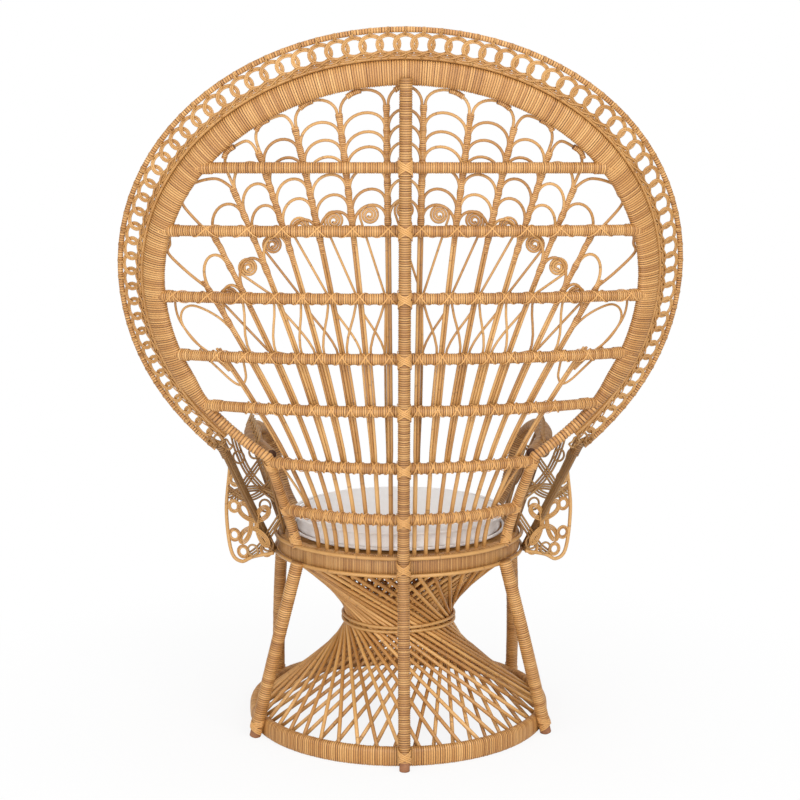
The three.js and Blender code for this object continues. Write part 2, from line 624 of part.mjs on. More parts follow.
// Angles that share the chain line into equal lengths, about one ring pitch each
function evenAngles() {
  const fine = spread(-BORDER_END_ANGLE, BORDER_END_ANGLE, HOOP_MEASURE_STEPS);
  const places = besideHoop(hoopFrames(fine), CHAIN_LINE);
  const lengths = [0];
  places.slice(1).forEach((place, index) => {
    lengths.push(lengths[index] + place.distanceTo(places[index]));
  });
  const whole = lengths[lengths.length - 1];
  return spread(0, whole, Math.round(whole / BORDER_CHAIN_PITCH)).map((length) => {
    const after = Math.max(lengths.findIndex((value) => value >= length - GAP), 1);
    const share = (length - lengths[after - 1]) / (lengths[after] - lengths[after - 1]);
    return fine[after - 1] + (fine[after] - fine[after - 1]) * Math.min(share, 1);
  });
}
const chainFrame = hoopFrames(evenAngles());
const chainLine = besideHoop(chainFrame, CHAIN_LINE);
function chainStrip() {
  const positions = [];
  const triangles = [];
  const put = (place) => positions.push(place.x, place.y, place.z) / 3 - 1;
  const pair = (place, face) => [1, -1].map((way) => (
    put(place.clone().addScaledVector(face, (way * BORDER_CHAIN_THICK) / 2))
  ));
  const fill = (...corners) => {
    for (let index = 1; index + 1 < corners.length; index += 1) {
      const [a, b, c] = [corners[0], corners[index], corners[index + 1]];
      triangles.push(a[0], b[0], c[0], a[1], c[1], b[1]);
    }
  };
  const wall = (a, b) => triangles.push(a[1], b[1], b[0], a[1], b[0], a[0]);
  const edges = chainFrame.map(({ outward, face }, index) => [-1, 1].map((way) => pair(
    chainLine[index].clone().addScaledVector(outward, (way * BORDER_CHAIN_WIDTH) / 2),
    face,
  )));
  edges.slice(1).forEach(([nextInner, nextOuter], index) => {
    const [inner, outer] = edges[index];
    const middle = chainLine[index].clone().add(chainLine[index + 1]).divideScalar(2);
    const along = chainLine[index + 1].clone().sub(chainLine[index]).normalize();
    const { face, outward } = chainFrame[index];
    const corner = (one, two) => pair(middle.clone()
      .addScaledVector(along, (one * BORDER_HOLE_WIDTH) / 2)
      .addScaledVector(outward, (two * BORDER_HOLE_HEIGHT) / 2), face);
    const [start, top, end, bottom] = [corner(-1, 0), corner(0, 1), corner(1, 0), corner(0, -1)];
    fill(inner, outer, start);
    fill(outer, top, start);
    fill(outer, nextOuter, top);
    fill(nextOuter, end, top);
    fill(nextOuter, nextInner, end);
    fill(nextInner, bottom, end);
    fill(nextInner, inner, bottom);
    fill(inner, start, bottom);
    [[top, start], [end, top], [bottom, end], [start, bottom]].forEach(([a, b]) => wall(a, b));
    wall(nextInner, inner);
    wall(outer, nextOuter);
  });
  wall(edges[0][0], edges[0][1]);
  wall(edges[edges.length - 1][1], edges[edges.length - 1][0]);
  return solidOf(positions, triangles);
}
node('border_ring_chain', chainStrip(), CANE_LOOK);
const outerRod = (grow) => hoopTube(
  chainFrame,
  OUTER_ROD_LINE,
  roundSection(BORDER_OUTER_ROD_RADIUS + grow, ROD_SIDES),
);
node('border_outer_rod', outerRod(0), WRAP_LOOK);

// Tail of the border: its canes wrapped into a flat band that runs down to the seat
const borderEnd = borderFrame[borderFrame.length - 1];
const tailHead = borderEnd.place.clone()
  .addScaledVector(borderEnd.outward, CHAIN_LINE)
  .addScaledVector(borderEnd.along, TAIL_THICK);
const tailFoot = polar(BEAD_LINE + BEAD_RADIUS, TAIL_FOOT_ANGLE, SEAT_RING_BOTTOM);
const tailMid = tailHead.clone().add(tailFoot).divideScalar(2);
tailMid.x += TAIL_THICK;
function tail(side, grow) {
  const line = smooth([tailHead, tailMid, tailFoot], TAIL_STEPS);
  line.forEach((place) => place.setX(place.x * side));
  const guide = point(side, 0, TAIL_TILT);
  return tube(line, guide, barSection(TAIL_THICK + 2 * grow, TAIL_BAND + 2 * grow));
}
const borderCut = [
  outerRod(GAP),
  hoopTube(chainFrame, CHAIN_LINE, barSection(BORDER_CHAIN_THICK + 2 * GAP, BORDER_CHAIN_WIDTH + 2 * GAP)),
  hoopTube(borderFrame, INNER_ROD_LINE, roundSection(BORDER_INNER_ROD_RADIUS + GAP, ROD_SIDES)),
];
const beadsGrown = [bead(UPPER_BEAD, GAP), bead(LOWER_BEAD, GAP)];
SIDES.forEach(([name, side]) => {
  const cutters = [...borderCut, ...beadsGrown, seatRing(GAP), ...postsGrown];
  const band = trimmed(tail(side, 0), [...cutters, outerBand(GAP)]);
  node(`border_tail_${name}`, band, WRAP_LOOK);
});

// Seven cross rails butted between the hoop's sides, the lowest two between the posts
function rail(height, grow) {
  const reach = height > kneeZ ? hoopHalfWidthAt(height) : postOffsetAt(height);
  const chart = spread(-reach, reach, RAIL_STEPS).map((x) => [x, height]);
  return backTube(chart, 0, roundSection(RAIL_RADIUS + grow, POLE_SIDES));
}
RAIL_HEIGHTS.forEach((height, index) => {
  node(`rail_${index + 1}`, trimmed(rail(height, 0), [hoopGrown, ...postsGrown]), WRAP_LOOK);
});

// Fan in front of the rails: each spoke carries the arches and the scroll on its outer side
const FAN_OFFSET = -(RAIL_RADIUS + LASHING + SPOKE_THICK / 2);
const SPOKE_CIRCLE = 1 / SEAT_CURVE;
function spokeOffset(rank, z) {
  const seat = SPOKE_CIRCLE * Math.sin((rank * SPOKE_PITCH) / SPOKE_CIRCLE);
  const gain = 1 + FAN_OUTER_GAIN * Math.max(rank - FAN_OUTER_RANK, 0);
  const climb = Math.max(z - SEAT_RING_TOP, 0) / FAN_HEIGHT;
  return seat + FAN_OPENING * (rank - FAN_MIDDLE_RANK) * gain * climb ** FAN_POWER;
}
const hoopReachAt = (z) => hoopHalfWidthAt(z) - HOOP_BAND / 2;
function spokeTop(rank) {
  const heights = spread(SEAT_RING_TOP, HOOP_CENTRE_HEIGHT + HOOP_RISE, SPOKE_SEARCH_STEPS);
  const inside = heights.filter((z) => spokeOffset(rank, z) < hoopReachAt(z) - SPOKE_WIDTH / 2);
  const meet = inside[inside.length - 1];
  return meet > HOOP_CENTRE_HEIGHT ? meet - SPOKE_TOP_DROP : meet;
}
const spokeWidthAt = (z) => {
  const away = (z - SPOKE_BUNDLE_HEIGHT) / SPOKE_BUNDLE_SPREAD;
  return SPOKE_WIDTH + (SPOKE_BUNDLE - SPOKE_WIDTH) * Math.exp(-away * away);
};
function spoke(side, rank, grow) {
  const heights = spread(SEAT_RING_TOP + GAP, spokeTop(rank), SPOKE_STEPS);
  const chart = heights.map((z) => [side * spokeOffset(rank, z), z]);
  const sections = heights.map((z) => barSection(SPOKE_THICK + 2 * grow, spokeWidthAt(z) + 2 * grow));
  return backTube(chart, FAN_OFFSET, (index) => sections[index]);
}

function arch(side, rank, crown) {
  const spring = crown - ARCH_RISE;
  const chart = spread(0, Math.PI, ARCH_STEPS).map((angle) => {
    const z = spring + ARCH_RISE * Math.sin(angle);
    const near = rank > 0 ? spokeOffset(rank, z) : -spokeOffset(1, z);
    const far = spokeOffset(rank + 1, z);
    const x = near + ((far - near) * (1 - Math.cos(angle))) / 2;
    return [side * x, z];
  });
  return backTube(chart, FAN_OFFSET, roundSection(ARCH_RADIUS, ROD_SIDES));
}
const columnMiddle = (rank, z) => {
  const near = rank > 0 ? spokeOffset(rank, z) : -spokeOffset(1, z);
  return (near + spokeOffset(rank + 1, z)) / 2;
};
function topCrown(rank) {
  const guess = hoopInnerTopAt(columnMiddle(rank, HOOP_CENTRE_HEIGHT + HOOP_RISE));
  return hoopInnerTopAt(columnMiddle(rank, guess)) - ARCH_RADIUS - GAP;
}

function scroll(side, rank) {
  const height = SCROLL_HEIGHTS[rank];
  const middle = columnMiddle(rank, height);
  const steps = Math.round(SCROLL_TURNS * SCROLL_PARTS);
  const coil = spread(0, 1, steps).map((share) => {
    const angle = 2 * Math.PI * SCROLL_TURNS * (share - 1) + Math.PI;
    const radius = SCROLL_INNER + (SCROLL_OUTER - SCROLL_INNER) * share;
    return [middle + radius * Math.cos(angle), height - radius * Math.sin(angle)];
  });
  const tailTop = coil[steps];
  const tailEnd = height - SCROLL_TAIL_DROP;
  const join = rank > 0 ? spokeOffset(rank, tailEnd) : -spokeOffset(1, tailEnd);
  const run = spread(0, 1, SCROLL_TAIL_STEPS).slice(1).map((share) => [
    tailTop[0] + (join - tailTop[0]) * share * share,
    tailTop[1] + (tailEnd - tailTop[1]) * share,
  ]);
  const chart = [...coil, ...run].map(([x, z]) => [side * x, z]);
  return { coil, rod: backTube(chart, FAN_OFFSET, roundSection(SCROLL_ROD_RADIUS, ROD_SIDES)) };
}

// Least distance between neighbouring turns of a scroll, measured on its centre line
function leastCoilGap(coil) {
  let least = Infinity;
  coil.forEach(([x, z], index) => {
    coil.slice(index + Math.ceil(SCROLL_PARTS / 2)).forEach(([otherX, otherZ]) => {
      least = Math.min(least, Math.hypot(x - otherX, z - otherZ));
    });
  });
  return least - 2 * SCROLL_ROD_RADIUS;
}

const railsGrown = RAIL_HEIGHTS.map((height) => rail(height, GAP));
const fanCut = [hoopGrown, ...postsGrown, ...seatCut, ...railsGrown];
SIDES.forEach(([name, side]) => {
  for (let rank = 1; rank <= SPOKE_COUNT; rank += 1) {
    const forms = [spoke(side, rank, 0)];
    const cutters = [...fanCut];
    const columns = rank === 1 && side > 0 ? [0, 1] : [rank];
    columns.forEach((column) => {
      if (column >= SPOKE_COUNT) return;
      const neighbour = column === 0 ? spoke(-side, 1, GAP) : spoke(side, column + 1, GAP);
      cutters.push(neighbour);
      const crown = topCrown(column);
      for (let count = 0; count < ARCH_COUNTS[column]; count += 1) {
        forms.push(arch(side, column, crown - count * ARCH_PITCH));
      }
      if (column < SCROLL_HEIGHTS.length) {
        const { coil, rod } = scroll(side, column);
        console.log('scroll', name, column, 'least gap', leastCoilGap(coil).toFixed(2));
        forms.push(rod);
      }
    });
    node(`fan_${name}_${rank}`, trimmed(joined(forms), cutters), CANE_LOOK);
  }
});

// Arms: a wrapped rail that leaves the post, runs forward and drops to the seat
const armStart = backPoint(kneeX, kneeZ, -POST_RADIUS - GAP);
const armEnd = polar(SEAT_RADIUS - POST_RADIUS / 2, ARM_FOOT_ANGLE, SEAT_RING_TOP);
const ARM_RUN = armStart.y - ARM_FRONT;
const ARM_DROP = ARM_HEIGHT - SEAT_RING_TOP;
const ARM_LEAN_IN = ARM_HALF_SPAN - armEnd.x;
const armLine = smooth([
  armStart,
  point(ARM_HALF_SPAN, armStart.y - ARM_REAR_SHARE * ARM_RUN, ARM_HEIGHT),
  point(ARM_HALF_SPAN, ARM_FRONT + ARM_FRONT_SHARE * ARM_RUN, ARM_HEIGHT),
  point(armEnd.x + ARM_BEND_LEAN * ARM_LEAN_IN, ARM_FRONT, ARM_HEIGHT - ARM_BEND_DROP * ARM_DROP),
  point(
    armEnd.x + ARM_SHIN_LEAN * ARM_LEAN_IN,
    ARM_FRONT + ARM_SHIN_RUN * ARM_RUN,
    SEAT_RING_TOP + ARM_SHIN_RISE * ARM_DROP,
  ),
  armEnd,
], ARM_STEPS);
const mirrored = (place, side) => point(side * place.x, place.y, place.z);
const onSide = (places, side) => places.map((place) => mirrored(place, side));
const armRail = (side, grow) => tube(
  onSide(armLine, side),
  SIDEWAYS,
  roundSection(ARM_RAIL_RADIUS + grow, POLE_SIDES),
);
SIDES.forEach(([name, side]) => {
  node(`arm_rail_${name}`, trimmed(armRail(side, 0), [...postsGrown, ...seatCut]), WRAP_LOOK);
});

// Side lattice: two bent canes that cross between the arm rail and the seat ring
const LATTICE_TOP_DROP = ARM_RAIL_RADIUS + LASHING + ARM_CANE_RADIUS;
const latticeTop = (share) => {
  const depth = armStart.y + (LATTICE_FRONT - armStart.y) * (LATTICE_START + (1 - LATTICE_START) * share);
  const nearest = armLine.slice(1).find((place) => place.y < depth);
  return point(nearest.x, depth, Math.min(nearest.z, ARM_HEIGHT) - LATTICE_TOP_DROP);
};
const latticeFoot = (share) => polar(
  SEAT_RADIUS - SEAT_RING_THICK / 2,
  LATTICE_FOOT_ANGLE * (1 - 2 * share),
  SEAT_RING_TOP + GAP + ARM_CANE_RADIUS,
);
function latticeCane(side, start) {
  const corners = spread(0, 1, LATTICE_BAYS).map((share, index) => (
    (index + start) % 2 === 0 ? latticeTop(share) : latticeFoot(share)
  ));
  return tube(onSide(corners, side), SIDEWAYS, roundSection(ARM_CANE_RADIUS, ROD_SIDES));
}
SIDES.forEach(([name, side]) => {
  const canes = joined([latticeCane(side, 0), latticeCane(side, 1)]);
  const cutters = [armRail(side, GAP), ...postsGrown, ...seatCut];
  node(`arm_lattice_${name}`, trimmed(canes, cutters), CANE_LOOK);
});

// Wing outside the arm: a rim cane bent round an open panel that holds a flower of four loops
const wingDepth = (x) => WING_DEPTH - WING_SLOPE * (x - SEAT_RADIUS);
const wingPoint = (x, z) => point(x, wingDepth(x), z);
const rimHead = tailHead.clone()
  .addScaledVector(borderEnd.outward, TAIL_BAND / 2 + ARM_RIM_RADIUS)
  .addScaledVector(borderEnd.along, ARM_RIM_RADIUS);
const rimLine = smooth([
  rimHead,
  wingPoint(WING_REACH, WING_TOP),
  wingPoint(WING_REACH + WING_BELLY, (WING_TOP + WING_BOTTOM) / 2),
  wingPoint(WING_REACH, WING_BOTTOM + WING_CORNER),
  wingPoint(WING_REACH - WING_CORNER, WING_BOTTOM),
  wingPoint((WING_REACH + SEAT_RADIUS) / 2, WING_BOTTOM + WING_DIP * WING_CORNER),
  wingPoint(BEAD_LINE, SEAT_RING_BOTTOM + 2 * BEAD_RADIUS),
], RIM_STEPS);
const rim = (side, grow) => tube(
  onSide(rimLine, side),
  BACKWARD,
  roundSection(ARM_RIM_RADIUS + grow, ROD_SIDES),
);
const rimCut = [...beadsGrown, seatRing(GAP)];
SIDES.forEach(([name, side]) => {
  const cutters = [...rimCut, tail(side, GAP), ...borderCut];
  node(`arm_rim_${name}`, trimmed(rim(side, 0), cutters), CANE_LOOK);
});

const wingAlong = point(1, -WING_SLOPE, 0).normalize();
const wingFace = point(WING_SLOPE, 1, 0).normalize();
const flowerCentre = wingPoint(FLOWER_OFFSET, FLOWER_HEIGHT);
const onWing = (along, up) => flowerCentre.clone()
  .addScaledVector(wingAlong, along)
  .addScaledVector(UPRIGHT, up);
function flowerLoop(side, along, up) {
  const rings = spread(0, 2 * Math.PI, LOOP_PARTS).slice(1).map((angle) => {
    const section = roundSection(ARM_CANE_RADIUS, ROD_SIDES).map(([out, depth]) => onWing(
      along + (FLOWER_LOOP + out) * Math.cos(angle),
      up + (FLOWER_LOOP + out) * Math.sin(angle),
    ).addScaledVector(wingFace, depth));
    return (side > 0 ? section : section.reverse()).map((place) => mirrored(place, side));
  });
  return sweptRings(rings, true);
}
function flowerStay(side, from, to) {
  return tube(onSide([from, to], side), BACKWARD, roundSection(ARM_CANE_RADIUS, ROD_SIDES));
}
SIDES.forEach(([name, side]) => {
  const loops = [[1, 1], [1, -1], [-1, 1], [-1, -1]].map(([along, up]) => (
    flowerLoop(side, along * FLOWER_SPREAD, up * FLOWER_SPREAD)
  ));
  const tip = FLOWER_SPREAD + FLOWER_LOOP * Math.SQRT1_2;
  const stays = [
    flowerStay(side, onWing(tip, tip), wingPoint(WING_REACH + WING_BELLY, FLOWER_HEIGHT + 2 * tip)),
    flowerStay(side, onWing(tip, -tip), wingPoint(WING_REACH, WING_BOTTOM + WING_CORNER)),
    flowerStay(side, onWing(-tip, -tip), wingPoint(BEAD_LINE, LOWER_BEAD)),
  ];
  const cutters = [...rimCut, rim(side, GAP), tail(side, GAP)];
  node(`arm_flower_${name}`, trimmed(joined([...loops, ...stays]), cutters), CANE_LOOK);
});

const box = new THREE.Box3().setFromObject(whole);
whole.position.set(0, -(box.min.y + box.max.y) / 2, 0);
const size = box.getSize(new THREE.Vector3());
console.log('size', size.toArray().map((value) => value.toFixed(1)).join(' '));

export default chair;
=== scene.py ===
import math
import random
import bmesh
import bpy
from mathutils import Matrix, Vector


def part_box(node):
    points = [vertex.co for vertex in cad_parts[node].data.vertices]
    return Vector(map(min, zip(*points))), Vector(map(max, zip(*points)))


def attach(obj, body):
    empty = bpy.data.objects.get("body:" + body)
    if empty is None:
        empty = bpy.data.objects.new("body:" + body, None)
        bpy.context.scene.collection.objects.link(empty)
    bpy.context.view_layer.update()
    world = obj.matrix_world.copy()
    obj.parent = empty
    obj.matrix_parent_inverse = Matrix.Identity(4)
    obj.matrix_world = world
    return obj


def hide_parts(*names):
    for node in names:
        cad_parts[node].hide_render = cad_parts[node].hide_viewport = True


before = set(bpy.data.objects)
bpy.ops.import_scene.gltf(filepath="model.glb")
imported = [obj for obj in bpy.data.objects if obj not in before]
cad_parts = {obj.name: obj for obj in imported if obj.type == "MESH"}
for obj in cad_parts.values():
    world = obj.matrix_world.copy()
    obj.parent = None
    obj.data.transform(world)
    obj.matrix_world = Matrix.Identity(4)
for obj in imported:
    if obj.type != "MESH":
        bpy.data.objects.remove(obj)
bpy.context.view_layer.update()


# Base ring. A tall band of bent pole, bound over closely with flat peeled cane so that the
# strands stand upright on its face. It rests on the floor and carries the foot of the cage.
BASE_RADIUS = 0.318
BASE_HALF_THICK = 0.010
BASE_HALF_HEIGHT = 0.020
BASE_WRAP = 0.0048
MARKS = ("tone", "crest", "run")
RIB_START = 0.28
RIB_END = 0.74
RIB_SLACK = 0.012
GROOVE_SPREAD = (0.6, 1.5)
PLAIN_GROOVES = 0.8
# Some grooves get a crest below zero, so the binding finish paints them fully in its dark painted shade, like
# open gaps between strands.
DEEP_SHADE_GROOVE = -0.5
ring_low, ring_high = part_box("base_ring")
CHAIR_CENTRE = Vector((0, (ring_low.y + ring_high.y) / 2, 0))
chance = random.Random(11)


class Amount:
    """A number that varies over a surface. Arithmetic on it adds Math nodes to its finish."""

    def __init__(self, finish, socket):
        self.finish = finish
        self.socket = socket

    def worked(self, operation, first, second):
        made = self.finish.node("ShaderNodeMath", {"operation": operation}, {0: first, 1: second})
        return Amount(self.finish, made.outputs[0])

    def __add__(self, other):
        return self.worked("ADD", self, other)

    def __radd__(self, other):
        return self.worked("ADD", other, self)

    def __sub__(self, other):
        return self.worked("SUBTRACT", self, other)

    def __rsub__(self, other):
        return self.worked("SUBTRACT", other, self)

    def __mul__(self, other):
        return self.worked("MULTIPLY", self, other)

    def __rmul__(self, other):
        return self.worked("MULTIPLY", other, self)


class Finish:
    """A Principled material and the nodes that feed it."""

    # Where a Mix node keeps its two colours and the mixed one.
    MIX_FIRST, MIX_SECOND, MIX_RESULT = 6, 7, 2

    def __init__(self, name, **fixed):
        self.material = bpy.data.materials.new(name)
        self.material.use_nodes = True
        self.tree = self.material.node_tree
        self.shader = self.tree.nodes["Principled BSDF"]
        for socket, value in fixed.items():
            self.surface(socket.replace("_", " "), value)

    def node(self, kind, settings, inputs):
        made = self.tree.nodes.new(kind)
        for key, value in settings.items():
            if key == "stops":
                given = made.color_ramp.elements
                for index, (place, colour) in enumerate(value):
                    stop = given[index] if index < len(given) else given.new(place)
                    stop.position = place
                    stop.color = (*colour, 1)
            else:
                setattr(made, key, value)
        for key, value in inputs.items():
            self.feed(made.inputs[key], value)
        return made

    def feed(self, socket, value):
        if isinstance(value, Amount):
            self.tree.links.new(value.socket, socket)
        elif isinstance(value, bpy.types.NodeSocket):
            self.tree.links.new(value, socket)
        else:
            socket.default_value = value

    def surface(self, name, value):
        self.feed(self.shader.inputs[name], value)

    def attribute(self, name):
        made = self.node("ShaderNodeAttribute", {"attribute_name": name}, {})
        return Amount(self, made.outputs["Fac"])

    def noise(self, scale, detail, roughness=0.5):
        place = self.node("ShaderNodeTexCoord", {}, {}).outputs["Object"]
        made = self.node("ShaderNodeTexNoise", {}, {
            "Vector": place, "Scale": scale, "Detail": detail, "Roughness": roughness})
        return Amount(self, made.outputs["Fac"])

    def ramp(self, amount, stops, shade=1.0):
        """A colour for each level of an amount. The shade makes all of its stops darker or lighter."""
        stops = [(place, shaded(colour, shade)) for place, colour in stops]
        return self.node("ShaderNodeValToRGB", {"stops": stops}, {"Fac": amount}).outputs["Color"]

    def mix(self, share, first, second):
        made = self.node("ShaderNodeMix", {"data_type": "RGBA"}, {
            "Factor": share, self.MIX_FIRST: first, self.MIX_SECOND: second})
        return made.outputs[self.MIX_RESULT]

    def bump(self, height, strength, distance):
        made = self.node("ShaderNodeBump", {}, {"Height": height, "Strength": strength, "Distance": distance})
        self.surface("Normal", made.outputs["Normal"])


def shaded(colour, shade):
    return tuple(part * shade for part in colour)


def binding_finish(name, shade):
    """Peeled cane strands. Each has its own tone, and the grooves between them are darkened with painted
    shade.
    """
    finish = Finish(name, IOR=1.5, Coat_Roughness=0.35)
    tone = finish.attribute("tone")
    crest = finish.attribute("crest")
    broad = finish.noise(9, 3)
    fine = finish.noise(420, 4, 0.65)
    level = tone * 0.42 + broad * 0.52 + fine * 0.40 - 0.175
    colour = finish.ramp(level, [
        (0.0, (0.215, 0.076, 0.015)),
        (1.0, (0.810, 0.475, 0.190)),
        (0.38, (0.500, 0.230, 0.059)),
        (0.68, (0.655, 0.345, 0.110)),
    ], shade)
    # Painted shade: the grooves between strands are mixed toward a near-black brown, a little less where the
    # broad noise is low.
    groove_shade = (1 - crest) * (0.74 + 0.26 * broad)
    colour = finish.mix(groove_shade, colour, (*shaded((0.075, 0.023, 0.005), shade), 1))
    finish.surface("Base Color", colour)
    finish.surface("Roughness", 0.36 + 0.22 * fine + 0.18 * (1 - crest))
    finish.surface("Coat Weight", 0.22 * crest)
    finish.bump(fine, 0.25, 0.0006)
    return finish.material


def section(half_out, half_up, corners, squareness=2.0):
    """Points round a cross-section: an ellipse at a squareness of 2, nearer a rounded bar above it."""
    points = []
    for corner in range(corners):
        angle = math.tau * corner / corners
        across, up = math.cos(angle), math.sin(angle)
        points.append((
            math.copysign(half_out * abs(across) ** (2 / squareness), across),
            math.copysign(half_up * abs(up) ** (2 / squareness), up)))
    return points


def round_bar(radius, corners):
    return section(radius, radius, corners)


class Path:
    """A bent line with a guide direction at each of its points, measured along its length."""

    def __init__(self, points, guides, closed=False):
        self.points = [Vector(place) for place in points]
        self.guides = [guides] * len(self.points) if isinstance(guides, Vector) else list(guides)
        self.closed = closed
        if closed:
            self.points.append(self.points[0])
            self.guides.append(self.guides[0])
        self.reach = [0.0]
        for before, after in zip(self.points, self.points[1:]):
            self.reach.append(self.reach[-1] + (after - before).length)
        self.length = self.reach[-1]
        self.spot = 0

    def tangent(self, index):
        last = len(self.points) - 1
        if self.closed and index in (0, last):
            return (self.points[1] - self.points[last - 1]).normalized()
        return (self.points[min(index + 1, last)] - self.points[max(index - 1, 0)]).normalized()

    def frame(self, length, scale_out=1.0, scale_up=1.0):
        """The matrix that sets a cross-section across the line at that length."""
        length = min(max(length, 0.0), self.length)
        if self.reach[self.spot] > length:
            self.spot = 0
        while self.spot < len(self.reach) - 2 and self.reach[self.spot + 1] < length:
            self.spot += 1
        index = self.spot
        share = (length - self.reach[index]) / max(self.reach[index + 1] - self.reach[index], 1e-9)
        place = self.points[index].lerp(self.points[index + 1], share)
        along = self.tangent(index).lerp(self.tangent(index + 1), share).normalized()
        guide = self.guides[index].lerp(self.guides[index + 1], share)
        first = (guide - along * guide.dot(along)).normalized()
        second = along.cross(first)
        made = Matrix((first * scale_out, second * scale_up, along)).transposed().to_4x4()
        made.translation = place
        return made


def start_piece():
    shape = bmesh.new()
    for mark in MARKS:
        shape.verts.layers.float.new(mark)
    return shape


def mesh_from(shape, name):
    mesh = bpy.data.meshes.new(name)
    shape.to_mesh(mesh)
    shape.free()
    return mesh


def put_in_scene(name, data):
    thing = bpy.data.objects.new(name, data)
    bpy.context.scene.collection.objects.link(thing)
    return thing


def pull(shape, frames, marks, outline, closed=False):
    """Sets a ring across the first frame and pulls it on through the others, then closes it."""
    strand = start_piece()
    layers = [strand.verts.layers.float[mark] for mark in MARKS]
    ring = bmesh.ops.create_circle(strand, cap_ends=False, segments=len(outline), radius=1)["verts"]
    for corner, (across, up) in zip(ring, outline):
        corner.co = frames[0] @ Vector((across, up, 0))
    edges = first_edges = strand.edges[:]
    for index, here in enumerate(frames):
        if index:
            made = bmesh.ops.extrude_edge_only(strand, edges=edges)["geom"]
            ring = [part for part in made if isinstance(part, bmesh.types.BMVert)]
            inside = set(ring)
            edges = [part for part in made if isinstance(part, bmesh.types.BMEdge)
                     and part.verts[0] in inside and part.verts[1] in inside]
            onward = here @ frames[index - 1].inverted()
            for corner in ring:
                corner.co = onward @ corner.co
        for layer, value in zip(layers, marks[index]):
            for corner in ring:
                corner[layer] = value
    if closed:
        bmesh.ops.bridge_loops(strand, edges=first_edges + edges)
    else:
        bmesh.ops.contextual_create(strand, geom=first_edges)
        bmesh.ops.contextual_create(strand, geom=edges)
    mesh = mesh_from(strand, "strand")
    shape.from_mesh(mesh)
    bpy.data.meshes.remove(mesh)


def bind(shape, path, outline, wrap, depth=0.07, widths=None, start=0.0, end=None):
    """Binds a pole with strands side by side: each is a low flat rib with a groove on each side."""
    end = path.length if end is None else end
    turns = max(round((end - start) / wrap), 1)
    step = (end - start) / turns
    frames, marks = [], []
    for turn in range(turns):
        tone = chance.random()
        slack = 1 + chance.uniform(-RIB_SLACK, RIB_SLACK)
        groove = 1 - depth * chance.uniform(*GROOVE_SPREAD)
        # Most grooves get the ordinary painted shade; the rest are marked for deeper painted shade.
        floor_of_groove = 0.0 if chance.random() < PLAIN_GROOVES else DEEP_SHADE_GROOVE
        for share, crest, size in (
                (0.0, floor_of_groove, groove), (RIB_START, 1.0, slack), (RIB_END, 1.0, slack)):
            place = start + (turn + share) * step
            wide = widths(place) if widths else (1.0, 1.0)
            frames.append(path.frame(place, size * wide[0], size * wide[1]))
            marks.append((tone, crest, place))
    if not path.closed:
        wide = widths(end) if widths else (1.0, 1.0)
        frames.append(path.frame(end, wide[0], wide[1]))
        marks.append((0.5, 0.5, end))
    pull(shape, frames, marks, outline, path.closed)


def add_piece(shape, name, finish, nodes, body="chair"):
    bmesh.ops.recalc_face_normals(shape, faces=shape.faces)
    bmesh.ops.translate(shape, vec=CHAIR_CENTRE, verts=shape.verts)
    mesh = mesh_from(shape, name)
    mesh.shade_smooth()
    mesh.materials.append(finish)
    piece = put_in_scene(name, mesh)
    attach(piece, body)
    if nodes:
        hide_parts(*nodes)


def circle_path(radius, height, parts, guide=None):
    points = []
    guides = []
    for part in range(parts):
        angle = math.tau * part / parts
        out = Vector((math.cos(angle), math.sin(angle), 0))
        points.append(out * radius + Vector((0, 0, height)))
        guides.append(guide or out)
    return Path(points, guides, closed=True)


UP = Vector((0, 0, 1))
BACKWARD = Vector((0, 1, 0))
SIDEWAYS = Vector((1, 0, 0))
SIDES = ((1, "left"), (-1, "right"))
binding = binding_finish("cane_binding", 1.0)
shape = start_piece()
bind(shape, circle_path(BASE_RADIUS, BASE_HALF_HEIGHT, 240),
     section(BASE_HALF_THICK, BASE_HALF_HEIGHT, 16, 3.2), BASE_WRAP, 0.05)
add_piece(shape, "base_ring_bound", binding, ["base_ring"])


# Cage. Two layers of straight peeled rods, leaning opposite ways from the base ring up to the seat,
# so that they draw in to a waist. Their ends are nailed inside the base ring and the seat ring.
ROD_COUNT = 44
ROD_RADIUS = 0.0041
WAIST_HEIGHT = 0.2234
OUTER_WAIST = 0.114
INNER_WAIST = 0.103
OUTER_HEAD = 0.256
INNER_HEAD = 0.243
INNER_FOOT = 0.301
OUTER_FOOT_HEIGHT = 0.018
INNER_FOOT_HEIGHT = 0.013
CAGE_HEAD_HEIGHT = 0.382
ROD_STEPS = 6
ROD_DRIFT = 0.008
ROD_BOW = 0.0025
CUT_EASE = 0.0012
CUT_SHARE = 0.6
JOINT_SPACING = 0.085
JOINT_HALF_WIDTH = 0.0028


def cane_finish(name, shade):
    """Bare cane. Each cane has its own tone, and a dark mark wherever a joint of the plant was."""
    finish = Finish(name, IOR=1.5, Coat_Roughness=0.28)
    tone = finish.attribute("tone")
    run = finish.attribute("run")
    broad = finish.noise(14, 3)
    fine = finish.noise(300, 5, 0.7)
    level = tone * 0.42 + broad * 0.5 + fine * 0.34 - 0.13
    colour = finish.ramp(level, [
        (0.0, (0.215, 0.080, 0.016)),
        (1.0, (0.800, 0.485, 0.195)),
        (0.36, (0.475, 0.224, 0.057)),
        (0.66, (0.640, 0.348, 0.111)),
    ], shade)
    joint = run.worked("PINGPONG", run + tone * 0.7, JOINT_SPACING)
    near = finish.node("ShaderNodeMapRange", {"interpolation_type": "SMOOTHSTEP"}, {
        "Value": joint, "From Min": 0.0, "From Max": JOINT_HALF_WIDTH, "To Min": 0.5, "To Max": 0.0})
    colour = finish.mix(near.outputs[0], colour, (*shaded((0.21, 0.088, 0.025), shade), 1))
    finish.surface("Base Color", colour)
    finish.surface("Roughness", 0.33 + 0.25 * fine)
    finish.surface("Coat Weight", 0.15 + 0.2 * broad)
    finish.bump(fine, 0.2, 0.0005)
    return finish.material


